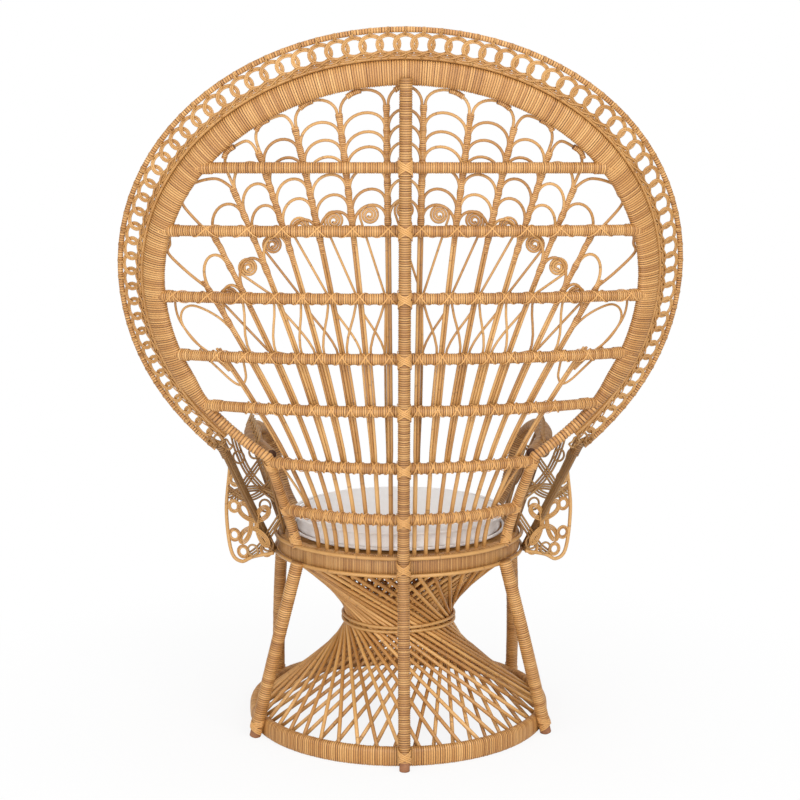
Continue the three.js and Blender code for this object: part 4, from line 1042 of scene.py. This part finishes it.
# Cross rails. Seven bound poles butted between the sides of the hoop, the lowest two between the
# posts. Each is lashed to the spokes of the fan with crossed strips of split cane.
RAIL_HEIGHTS = (1.194, 1.074, 0.944, 0.825, 0.720, 0.603, 0.496)
RAIL_WRAP = 0.0045
RAIL_BOUND = 0.0110
COLLAR_INSET = 0.022
COLLAR_LENGTH = 0.020
COLLAR_RADIUS = 0.0126
SPINE_LASHING_HEIGHT = 0.030
SPINE_LASHING_LEAN = 0.014
POST_LASHING_LEAN = 0.012
POST_LASHING_HEIGHT = SEAT_TOP + 0.014
for number, height in enumerate(RAIL_HEIGHTS, 1):
    reach = hoop_half_width(height) if height > knee_z else post_offset(height)
    across = [reach * (step / 30 - 1) for step in range(61)]
    path = back_path([(x, height) for x in across])
    shape = start_piece()
    bind(shape, path, round_bar(RAIL_BOUND, 10), RAIL_WRAP, 0.075)
    for start in (COLLAR_INSET, path.length - COLLAR_INSET - COLLAR_LENGTH):
        bind(shape, path, round_bar(COLLAR_RADIUS, 10), RAIL_WRAP, 0.09,
             start=start, end=start + COLLAR_LENGTH)
    add_piece(shape, f"rail_{number}_bound", binding, [f"rail_{number}"])
spine_lashings = start_piece()
for height in (*RAIL_HEIGHTS, SEAT_RING_MIDDLE, SPINE_LASHING_HEIGHT):
    centre = Vector((0, spine_depth(height), height))
    crossed_lashing(spine_lashings, centre, UP, BACKWARD, SPINE_BOUND, SPINE_LASHING_LEAN)
for path in post_paths.values():
    for height in (*RAIL_HEIGHTS[-2:], POST_LASHING_HEIGHT):
        index = min(range(len(path.points)), key=lambda spot: abs(path.points[spot].z - height))
        crossed_lashing(spine_lashings, path.points[index], path.tangent(index), path.guides[index],
                        POST_RADIUS, POST_LASHING_LEAN)
add_piece(spine_lashings, "spine_lashings", binding, [])


# Fan. In front of the rails eight spokes spread up each side from the seat. Each is one stout rod at
# the seat and a bundle of thinner canes above, whose ends part into arches, scrolls and loops.
SPOKES = 8
SPOKE_PITCH = 0.025
FAN_OPENING = 0.055
FAN_HEIGHT = 0.777
FAN_POWER = 1.45
FAN_MIDDLE = 0.85
FAN_DEPTH = -0.0155
FAN_CANE = 0.0029
SEAT_CIRCLE = 1 / SEAT_CURVE
ARCH_RISE = 0.034
ARCH_CANE = 0.0030
ARCH_CROWNS = (
    (1.343, 1.301, 1.272, 1.240, 1.206, 1.171, 1.133), (1.337, 1.295, 1.260, 1.232, 1.194, 1.153, 1.123),
    (1.318, 1.277, 1.244, 1.213, 1.180, 1.142, 1.110), (1.289, 1.245, 1.211, 1.171, 1.134, 1.094),
    (1.241, 1.201, 1.161, 1.120, 1.062), (1.171, 1.121, 1.017), (1.073, 1.021, 0.962))
OUTER_SPOKE_TOPS = (1.070, 0.972, 0.836)
SIDE_COLUMNS = 5
SIDE_ARCH_DROPS = (0.010, 0.030, 0.048)
SIDE_ARCH_JOINS = (0.122, 0.147)
ARCH_SKEWS = (0.0, 0.015, 0.020, 0.029, 0.036, 0.044, 0.050)
HOOP_EDGE = HOOP_HALF_BAND - 0.004
SCROLL_HEIGHTS = (1.112, 1.103, 1.092, 1.080, 1.045, 1.000, 0.942)
SCROLL_PARTINGS = (0.944, 0.835)
SCROLL_OUTER = 0.0190
SCROLL_INNER = 0.0030
SCROLL_TURNS = 3
SCROLL_CANE = 0.0026
SCROLL_FOOT = 0.600
SCROLL_PARTS = 18
MIDDLE_SCROLL_FOOT = 0.95
OUTER_GAIN = 0.067
GAIN_RANK = 5
FOOT_TUCK = 0.016
SPOKE_EDGE = 0.003
PAIR_HEIGHT = 0.596
THIRD_CANE_FOOT = 0.715
FORK_LOW = 0.825
FORK_HIGH = 0.944
OUTER_LANE = 0.0086
INNER_LANE = 0.0088
SLEEVE_WRAP = 0.0036
SWELL_REACH = 0.009
SWELL_OUT = 0.10
SWELL_ACROSS = 0.42
FAN_STEP = 0.02
SPOKE_SINK = 0.004
STOUT_GAIN = 0.55
STOUT_END = (0.585, 0.615)
PAIR_OPENING = (0.58, 0.63)
PAIR_OFFSET = 0.0030
THIRD_CANE_TOP = 0.947
THIN_CANE = 0.0026
HAIRPIN_CANE = 0.0025


def spoke_offset(rank, z):
    seat = SEAT_CIRCLE * math.sin(rank * SPOKE_PITCH / SEAT_CIRCLE)
    gain = 1 + OUTER_GAIN * max(rank - GAIN_RANK, 0)
    climb = max(z - SEAT_TOP, 0) / FAN_HEIGHT
    return seat + FAN_OPENING * (rank - FAN_MIDDLE) * gain * climb ** FAN_POWER


def arch_foot(column, crown):
    """The height of an arch's inner foot. Its outer foot is lower by the skew of the column."""
    return crown - ARCH_RISE + 0.4 * ARCH_SKEWS[column]


def spoke_top(rank):
    """The height at which a spoke parts into the arches on its two sides, or meets the hoop."""
    if rank <= SIDE_COLUMNS:
        return arch_foot(rank, ARCH_CROWNS[rank][0])
    return OUTER_SPOKE_TOPS[rank - SIDE_COLUMNS - 1]


def spread(low, high, step):
    count = max(round((high - low) / step), 2)
    return [low + (high - low) * index / count for index in range(count + 1)]


def fan_cane(shape, side, chart, radius, depth=0.0, sizes=None, sides=7):
    path = back_path([(side * x, z) for x, z in chart], FAN_DEPTH + depth)
    lay(shape, path.points, path.guides, round_bar(radius, sides), sizes=sizes)


def bent_cane(shape, side, corners, steps, radius, depth=0.0):
    """A cane of the fan bent smoothly through a few corners."""
    line = smooth([Vector((x, 0, z)) for x, z in corners], steps * (len(corners) - 1))
    fan_cane(shape, side, [(place.x, place.z) for place in line], radius, depth)


def near_spoke(column, z):
    """The spoke on the inner side of a column. For the middle column it is on the other side."""
    return spoke_offset(column, z) if column else -spoke_offset(1, z)


def column_middle(column, z):
    return (near_spoke(column, z) + spoke_offset(column + 1, z)) / 2


def bound_spoke(shape, side, rank, low, high, feet):
    """Binds the upper part of a spoke all along, thicker where the foot of an arch lies under it."""
    heights = spread(low, high, 0.012)
    charts = [(side * spoke_offset(rank, z), z) for z in heights]
    path = back_path(charts, FAN_DEPTH)

    def swelling(length):
        z = low + (high - low) * length / path.length
        near = max((math.exp(-((z - foot) / SWELL_REACH) ** 2) for foot in feet), default=0.0)
        return 1 + SWELL_OUT * near, 1 + SWELL_ACROSS * near

    bind(shape, path, section(0.0042, 0.0052, 9), SLEEVE_WRAP, 0.11, swelling)


def side_arch(shape, side, column, crown):
    """The topmost arch of a side column: over to the hoop, down its edge and on to the next spoke."""
    foot = arch_foot(column, crown)
    start = spoke_offset(column, foot) + SPOKE_EDGE
    edge = [(hoop_half_width(crown - drop) - HOOP_EDGE, crown - drop) for drop in SIDE_ARCH_DROPS]
    ends = [(spoke_offset(column + 1, crown - drop) - SPOKE_EDGE, crown - drop) for drop in SIDE_ARCH_JOINS]
    between = ((edge[-1][0] + ends[0][0]) / 2 + 0.004, (edge[-1][1] + ends[0][1]) / 2)
    corners = [(spoke_offset(column, foot - FOOT_TUCK) + SPOKE_EDGE, foot - FOOT_TUCK), (start, foot),
               (start + 0.4 * (edge[0][0] - start), crown), *edge, between, *ends]
    bent_cane(shape, side, corners, 6, ARCH_CANE)


def arch(shape, ties, side, column, crown, topmost):
    """A cane bent from one spoke over to the next. The topmost of a column is tied to the hoop."""
    if topmost and column >= SIDE_COLUMNS:
        side_arch(shape, side, column, crown)
        return
    skew = ARCH_SKEWS[column]
    foot = arch_foot(column, crown)
    bend = [math.pi * step / 14 for step in range(15)]
    chart = [(0.0, foot - FOOT_TUCK)]
    for angle in bend:
        share = (1 - math.cos(angle)) / 2
        chart.append((share, foot - skew * share + ARCH_RISE * math.sin(angle)))
    low = foot - skew - FOOT_TUCK
    if topmost:
        low = min(low, spoke_top(column + 1) - 0.010)
    chart += [(1.0, z) for z in spread(low, foot - skew, 0.012)[-2::-1]]
    line = []
    for share, z in chart:
        near = near_spoke(column, z) + SPOKE_EDGE
        far = spoke_offset(column + 1, z) - SPOKE_EDGE
        line.append((near + (min(far, hoop_half_width(z) - HOOP_EDGE) - near) * share, z))
    fan_cane(shape, side, line, ARCH_CANE)
    if topmost:
        touch = min(range(2, 12), key=lambda index: hoop_half_width(line[index][1]) - line[index][0])
        crest = [(side * x, z) for x, z in line[touch - 1:touch + 3]]
        bind(ties, back_path(crest, FAN_DEPTH * 0.6), section(0.0075, 0.0056, 9), SLEEVE_WRAP, 0.10)


def scroll(shape, side, column):
    """A cane that leaves a spoke, runs straight out under a column and winds up into a flat scroll."""
    height = SCROLL_HEIGHTS[column]
    middle = column_middle(column, height)
    chart = []
    if column:
        lower = max(column - 1, 1)
        parting = SCROLL_PARTINGS[0] if height > 0.95 else SCROLL_PARTINGS[1]
        for z in spread(SCROLL_FOOT, FORK_LOW, FAN_STEP):
            chart.append((spoke_offset(lower, z) + OUTER_LANE * (0.75 + 0.25 * ease(z, 0.62, 0.74)), z))
        for z in spread(FORK_LOW, parting, 0.015)[1:]:
            near = spoke_offset(lower, z) + OUTER_LANE
            chart.append((near + (spoke_offset(column, z) + 0.0062 - near) * ease(z, FORK_LOW, parting), z))
    else:
        chart.append((-spoke_offset(1, MIDDLE_SCROLL_FOOT) - 0.004, MIDDLE_SCROLL_FOOT))
    start_x, start_z = chart[-1]
    slant = math.atan2(middle + SCROLL_OUTER - start_x, height - start_z)
    steps = SCROLL_TURNS * SCROLL_PARTS
    for step in range(steps + 1):
        angle = math.tau * SCROLL_TURNS * step / steps - slant
        radius = SCROLL_OUTER + (SCROLL_INNER - SCROLL_OUTER) * step / steps
        chart.append((middle + radius * math.cos(angle), height + radius * math.sin(angle)))
    fan_cane(shape, side, chart, SCROLL_CANE, -0.002, sides=6)


HAIRPINS = (
    ((0.345, 0.788), (0.364, 0.806), (0.392, 0.825), (0.424, 0.850), (0.446, 0.885), (0.443, 0.910),
     (0.424, 0.921), (0.398, 0.915), (0.368, 0.899), (0.345, 0.878), (0.332, 0.858)),
    ((0.456, 0.950), (0.457, 0.915), (0.448, 0.885), (0.422, 0.850), (0.394, 0.823), (0.370, 0.806),
     (0.351, 0.788)),
    ((0.412, 0.832), (0.395, 0.812), (0.372, 0.790), (0.345, 0.766), (0.327, 0.760), (0.318, 0.775),
     (0.319, 0.795), (0.325, 0.832)))
LASHING_PARTS = 12
LASHING_CROSSING = 0.6
lashings = start_piece()
for side, side_name in SIDES:
    for rank in range(1, SPOKES + 1):
        shape = start_piece()
        sleeves = start_piece()
        top = spoke_top(rank)
        heights = spread(SEAT_TOP - SPOKE_SINK, top, FAN_STEP)
        chart = [(spoke_offset(rank, z) - FAN_CANE * ease(z, *PAIR_OPENING), z) for z in heights]
        sizes = [1 + STOUT_GAIN * (1 - ease(z, *STOUT_END)) for z in heights]
        fan_cane(shape, side, chart, FAN_CANE, sizes=sizes, sides=8)
        chart = [(spoke_offset(rank, z) + PAIR_OFFSET, z) for z in spread(PAIR_HEIGHT, top, FAN_STEP)]
        fan_cane(shape, side, chart, FAN_CANE)
        if 2 <= rank <= 7:
            chart = [(spoke_offset(rank, z) - INNER_LANE, z)
                     for z in spread(THIRD_CANE_FOOT, FORK_LOW, FAN_STEP)]
            for z in spread(FORK_LOW, THIRD_CANE_TOP, FAN_STEP)[1:]:
                share = ease(z, FORK_LOW, FORK_HIGH)
                near = spoke_offset(rank, z) - INNER_LANE
                chart.append((near + (spoke_offset(rank - 1, z) + OUTER_LANE - near) * share, z))
            fan_cane(shape, side, chart, THIN_CANE, 0.002)
        columns = (0, 1) if rank == 1 and side > 0 else (rank,)
        for column in columns:
            if column < SPOKES - 1:
                for count, crown in enumerate(ARCH_CROWNS[column]):
                    arch(shape, sleeves, side, column, crown, count == 0)
                scroll(shape, side, column)
        feet = [arch_foot(column, crown) - (ARCH_SKEWS[column] if column < rank else 0) - 0.006
                for column in (rank - 1, rank) if column < SPOKES - 1 for crown in ARCH_CROWNS[column]]
        if feet and min(feet) - 0.03 < top - 0.02:
            bound_spoke(sleeves, side, rank, min(feet) - 0.03, top, feet)
        if rank == SPOKES:
            for corners in HAIRPINS:
                bent_cane(shape, side, corners, 8, HAIRPIN_CANE, -0.001)
            chart = [(spoke_offset(rank, z) + 0.0052 + 0.016 * ease(z, 0.50, 0.60), z)
                     for z in spread(0.50, 0.60, FAN_STEP)]
            fan_cane(shape, side, chart, THIN_CANE)
        spoke = f"fan_{side_name}_{rank}"
        add_piece(shape, f"{spoke}_canes", cane, [spoke])
        if sleeves.verts:
            add_piece(sleeves, f"{spoke}_ties", binding, [])
        else:
            sleeves.free()
    for height in RAIL_HEIGHTS[1:]:
        crossings = [spoke_offset(rank, height) for rank in range(1, SPOKES + 1)]
        crossings = [x for x in crossings if x < post_offset(height) - 0.012]
        for hand in (1, -1):
            points, guides = [], []
            for step in range(-6, (len(crossings) - 1) * LASHING_PARTS + 7):
                place = step / LASHING_PARTS
                rank = min(max(int(place), 0), len(crossings) - 2)
                x = side * (crossings[rank] + (crossings[rank + 1] - crossings[rank]) * (place - rank))
                turn = LASHING_CROSSING + hand * math.tau * place
                guides.append(back_normal(x, height) * math.cos(turn) + UP * math.sin(turn))
                points.append(on_back(x, height) + guides[-1] * (RAIL_BOUND + 0.0008))
            lay(lashings, points, guides, section(0.0008, 0.0017, 5), tone=0.9)
add_piece(lashings, "rail_lashings", binding, [])


# Arms. A bound roll runs forward from each back post, bends down in front of the seat and ends on the
# seat ring. Under it bent canes cross between the arm and the seat, with loops of cane along its edge.
ARM_HEIGHT = 0.624
ARM_FRONT = -0.203
ARM_SPAN = 0.312
ARM_RADIUS = 0.0125
ARM_WRAP = 0.0062
LATTICE_BAYS = 5
LATTICE_CANE = 0.0028
LATTICE_LANES = (-0.0035, 0.0035)
LATTICE_RINGS = (0.024, 0.0185)
RING_STRETCH = 1.25
LACE_LOOPS = 7
LACE_PARTS = 16
LACE_CANE = 0.0024
arm_start = on_back(knee_x, knee_z, -POST_RADIUS)
arm_end = polar(SEAT_RADIUS - POST_RADIUS / 2, -31, SEAT_TOP)
arm_run = arm_start.y - ARM_FRONT
arm_drop = ARM_HEIGHT - SEAT_TOP
arm_lean = ARM_SPAN - arm_end.x
arm_line = smooth([
    arm_start,
    Vector((ARM_SPAN, arm_start.y - 0.4 * arm_run, ARM_HEIGHT)),
    Vector((ARM_SPAN, ARM_FRONT + 0.2 * arm_run, ARM_HEIGHT)),
    Vector((arm_end.x + 0.75 * arm_lean, ARM_FRONT, ARM_HEIGHT - 0.25 * arm_drop)),
    Vector((arm_end.x + 0.4 * arm_lean, ARM_FRONT + 0.03 * arm_run, SEAT_TOP + 0.25 * arm_drop)),
    arm_end], 50)


def arm_above(share):
    """A place on the underside of the arm rail, by its share of the way to the front."""
    depth = arm_start.y + (ARM_FRONT + 0.05 - arm_start.y) * (0.12 + 0.88 * share)
    place = next(place for place in arm_line[1:] if place.y < depth)
    return place - UP * ARM_RADIUS * 0.6


def seat_below(share):
    return polar(SEAT_RADIUS - 0.013, 22 * (1 - 2 * share), SEAT_TOP + LATTICE_CANE)


for side, side_name in SIDES:
    path = Path(on_side(arm_line, side), Vector((side, 0, 0.3)))
    shape = start_piece()

    def arm_width(length):
        share = ease(length, 0.0, 0.10) * (1 - ease(length, path.length - 0.14, path.length))
        return 0.9 + 0.55 * share, 0.9 + 0.1 * share

    bind(shape, path, round_bar(ARM_RADIUS, 12), ARM_WRAP, 0.075, arm_width)
    add_piece(shape, f"arm_rail_{side_name}_bound", shade_darkened_binding,
              [f"arm_rail_{side_name}"])
    shape = start_piece()
    for start in (0, 1):
        corners = []
        for bay in range(LATTICE_BAYS + 1):
            share = bay / LATTICE_BAYS
            corners.append(arm_above(share) if (bay + start) % 2 else seat_below(share))
        for lane in LATTICE_LANES:
            line = smooth([place + BACKWARD * lane for place in corners], 10 * LATTICE_BAYS)
            points = [place + SIDEWAYS * ((start - 0.5) * 0.006) for place in line]
            lay(shape, on_side(points, side), SIDEWAYS, round_bar(LATTICE_CANE, 7))
    for bay in range(LATTICE_BAYS):
        share = (bay + 0.5) / LATTICE_BAYS
        middle = arm_above(share).lerp(seat_below(share), 0.5)
        rise = (arm_above(share) - seat_below(share)).normalized()
        forward = (arm_above(min(share + 0.1, 1)) - arm_above(max(share - 0.1, 0))).normalized()
        for radius in LATTICE_RINGS:
            points = loop_points(middle, rise, radius * RING_STRETCH, forward, radius, RING_PARTS)
            lay(shape, on_side(points, side), SIDEWAYS, round_bar(0.0022, 6), closed=True)
    add_piece(shape, f"arm_lattice_{side_name}_canes", shade_darkened_cane,
              [f"arm_lattice_{side_name}"])
    shape = start_piece()
    points = []
    for step in range(LACE_LOOPS * LACE_PARTS + 1):
        share = step / (LACE_LOOPS * LACE_PARTS)
        turn = math.tau * LACE_LOOPS * share
        place = arm_line[2].lerp(arm_line[20], share)
        points.append(place + SIDEWAYS * (0.018 + 0.006 * math.cos(turn))
                      + UP * (0.017 - 0.017 * math.cos(turn)) + BACKWARD * (0.013 * math.sin(turn)))
    lay(shape, on_side(points, side), SIDEWAYS, round_bar(LACE_CANE, 7))
    add_piece(shape, f"arm_lace_{side_name}", shade_darkened_cane, [])


# Wings. Outside each arm a bent rim cane runs from the foot of the border round to the seat ring. It
# holds a flower: one long bundle of canes laid in four loops, tied to the rim with small cane rings.
RIM_RADIUS = 0.004
WING_HEIGHT = 0.443
WING_MIDDLE = 0.308
FLOWER_SWEEP = 0.0292
FLOWER_LOOP = 0.0213
FLOWER_LANES = (-0.0036, 0.0, 0.0036)
FLOWER_LIFT = 0.012
FLOWER_PARTS = 96
FLOWER_STRETCH = 1.12
FLOWER_WAVE = 0.004
WING_DEPTH = 0.085
WING_SLOPE = 0.45
BUNDLE_LANE = 0.0052
TIE_RINGS = ((0.354, 0.478), (0.354, 0.415), (0.350, 0.535), (0.335, 0.380), (0.285, 0.388))
TIE_RING_RADII = (0.0135, 0.0095)
# Stays from the border's tail to the rim: a share of the tail's length and a step along the rim.
WING_STAYS = ((0.16, 5), (0.30, 9), (0.44, 12))
RIM_CORNERS = (
    (0.362, 0.580), (0.371, 0.469), (0.362, 0.380), (0.340, 0.358), (0.313, 0.3712), (BEAD_REACH, 0.384))
WING_BUNDLES = (
    ((0.272, 0.612), (0.300, 0.574), (0.330, 0.530), (0.358, 0.486)),
    ((0.354, 0.632), (0.346, 0.602), (0.326, 0.558), (0.296, 0.524), (0.262, 0.500)),
    ((0.258, 0.508), (0.300, 0.520), (0.340, 0.512), (0.370, 0.498)),
    ((0.266, 0.545), (0.300, 0.508), (0.335, 0.496), (0.370, 0.516)),
    ((0.250, 0.470), (0.275, 0.430), (0.300, 0.392), (0.330, 0.366)))
WING_RINGS = (
    (0.340, 0.586, 0.013), (0.306, 0.598, 0.012), (0.284, 0.486, 0.013), (0.280, 0.402, 0.014),
    (0.312, 0.386, 0.012))
wing_face = Vector((WING_SLOPE, 1, 0)).normalized()
wing_along = Vector((1, -WING_SLOPE, 0)).normalized()


def on_wing(x, z, lift=0.0):
    return Vector((x, WING_DEPTH - WING_SLOPE * (x - SEAT_RADIUS), z)) + wing_face * lift


def wing_ring(shape, side, x, z, lift, radius, outline):
    points = loop_points(on_wing(x, z, lift), wing_along, radius, UP, radius, LOOP_PARTS)
    lay(shape, on_side(points, side), Vector((wing_face.x * side, wing_face.y, 0)), outline, closed=True)


rim_line = smooth([
    tail_head + border_out * 0.018 + border_along * 0.004,
    *[on_wing(x, z) for x, z in RIM_CORNERS]], 48)
for side, side_name in SIDES:
    shape = start_piece()
    lay(shape, on_side(rim_line, side), Vector((WING_SLOPE * side, 1, 0)),
        round_bar(RIM_RADIUS, 9))
    add_piece(shape, f"arm_rim_{side_name}_cane", cane, [f"arm_rim_{side_name}"])
    shape = start_piece()
    guide = Vector((wing_face.x * side, wing_face.y, 0))
    flower = on_wing(WING_MIDDLE, WING_HEIGHT)
    points = []
    for part in range(FLOWER_PARTS):
        angle = math.tau * part / FLOWER_PARTS
        x = FLOWER_SWEEP * math.cos(angle) + FLOWER_LOOP * math.cos(3 * angle)
        z = FLOWER_SWEEP * math.sin(angle) - FLOWER_LOOP * math.sin(3 * angle)
        turned_x = (x - z) * math.sqrt(0.5)
        turned_z = (x + z) * math.sqrt(0.5)
        lift = FLOWER_WAVE * math.sin(4 * angle) + FLOWER_LIFT * ease(-turned_x, -0.025, 0.025)
        points.append(flower + wing_along * turned_x + UP * (turned_z * FLOWER_STRETCH) + wing_face * lift)
    path = Path(points, wing_face, closed=True)
    for lane in FLOWER_LANES:
        points = [path.frame(reach) @ Vector((0, lane, 0)) for reach in path.reach[:-1]]
        lay(shape, on_side(points, side), guide, section(0.0019, 0.0018, 6), closed=True,
            tone=chance.uniform(0.5, 0.9))
    add_piece(shape, f"arm_flower_{side_name}_canes", cane, [f"arm_flower_{side_name}"])
    shape = start_piece()
    for x, z in TIE_RINGS:
        for radius in TIE_RING_RADII:
            wing_ring(shape, side, x, z, 0.0, radius, section(0.0018, 0.0021, 6))
    tail = tail_paths[1]
    for share, rim_step in WING_STAYS:
        start = tail.frame(tail.length * share).translation
        points = [start.lerp(rim_line[rim_step], step / 6) + UP * (0.006 * math.sin(math.pi * step / 6))
                  for step in range(7)]
        lay(shape, on_side(points, side), UP, round_bar(0.0026, 7))
    add_piece(shape, f"arm_wing_{side_name}_ties", cane, [])
    shape = start_piece()
    for corners in WING_BUNDLES:
        line = smooth([Vector((x, 0, z)) for x, z in corners], 6 * (len(corners) - 1))
        path = Path(line, BACKWARD)
        for lane in (-1, 0, 1):
            spots = [path.frame(reach) @ Vector((0, lane * BUNDLE_LANE, 0)) for reach in path.reach]
            points = [on_wing(spot.x, spot.z, -0.004 + 0.002 * lane) for spot in spots]
            lay(shape, on_side(points, side), guide, section(0.0022, 0.0024, 6))
    for x, z, radius in WING_RINGS:
        wing_ring(shape, side, x, z, 0.004, radius, section(0.0021, 0.0024, 6))
    add_piece(shape, f"arm_web_{side_name}", shade_darkened_cane, [])


# The place the chair stands in: a plain white floor that takes a soft shadow, white behind, and wide
# soft lamps on the side that is seen.
CAMERA_PLACE = Vector((0.115, 3.265, 1.193))
CAMERA_TILT = 8.6
LENS = 68.94
SENSOR_WIDTH = 36
LENS_SHIFT = 0.0019
LAMP_AIM = Vector((0, 0, 0.7))
LAMPS = (
    ("key", (-1.7, 3.0, 2.6), 1.8, 55), ("fill", (2.2, 2.6, 1.5), 2.0, 26),
    ("low", (0.3, 3.3, 0.95), 1.6, 27), ("top", (0.0, 0.3, 3.2), 2.2, 22))
stage_floor = bmesh.new()
bmesh.ops.create_grid(stage_floor, x_segments=1, y_segments=1, size=12)
floor = put_in_scene("studio_floor", mesh_from(stage_floor, "studio_floor"))
paper = Finish("studio_paper", Roughness=0.9)
paper.surface("Base Color", (0.86, 0.86, 0.86, 1))
seen = paper.node("ShaderNodeLightPath", {}, {}).outputs["Is Camera Ray"]
glow = paper.node("ShaderNodeEmission", {}, {"Color": (1, 1, 1, 1), "Strength": 1.0})
spot = paper.node("ShaderNodeTexCoord", {}, {}).outputs["Object"]
away = paper.node("ShaderNodeVectorMath", {"operation": "LENGTH"}, {0: spot}).outputs["Value"]
fade = paper.node("ShaderNodeMapRange", {"interpolation_type": "SMOOTHSTEP"}, {
    "Value": away, "From Min": 0.35, "From Max": 1.3, "To Min": 0.86, "To Max": 1.0})
share = Amount(paper, seen) * Amount(paper, fade.outputs["Result"])
blend = paper.node("ShaderNodeMixShader", {}, {
    0: share, 1: paper.shader.outputs["BSDF"], 2: glow.outputs["Emission"]})
paper.feed(paper.tree.nodes["Material Output"].inputs["Surface"], blend.outputs["Shader"])
floor.data.materials.append(paper.material)
world = bpy.data.worlds.new("studio_white")
bpy.context.scene.world = world
world.use_nodes = True
sky = world.node_tree
camera_ray = sky.nodes.new("ShaderNodeLightPath").outputs["Is Camera Ray"]
strength = sky.nodes.new("ShaderNodeMapRange")
strength.inputs["To Min"].default_value = 0.62
strength.inputs["To Max"].default_value = 1.0
sky.links.new(camera_ray, strength.inputs["Value"])
sky.nodes["Background"].inputs["Color"].default_value = (1, 1, 1, 1)
sky.links.new(strength.outputs["Result"], sky.nodes["Background"].inputs["Strength"])
for lamp_name, place, size, power in LAMPS:
    lamp_data = bpy.data.lights.new(f"studio_{lamp_name}", "AREA")
    lamp_data.shape = "DISK"
    lamp_data.size = size
    lamp_data.energy = power
    lamp = put_in_scene(f"studio_{lamp_name}", lamp_data)
    lamp.location = place
    lamp.rotation_euler = (LAMP_AIM - Vector(place)).to_track_quat("-Z", "Y").to_euler()
camera_data = bpy.data.cameras.new("photo_camera")
camera_data.lens = LENS
camera_data.sensor_width = SENSOR_WIDTH
camera_data.shift_x = LENS_SHIFT
camera = put_in_scene("photo_camera", camera_data)
yaw = math.atan2(CAMERA_PLACE.x, CAMERA_PLACE.y)
tilt = math.radians(CAMERA_TILT)
aim = Vector((-math.sin(yaw) * math.cos(tilt), -math.cos(yaw) * math.cos(tilt), -math.sin(tilt)))
camera.location = CAMERA_PLACE + CHAIR_CENTRE
camera.rotation_euler = aim.to_track_quat("-Z", "Y").to_euler()
bpy.context.scene.camera = camera
bpy.context.scene.view_settings.view_transform = "Standard"
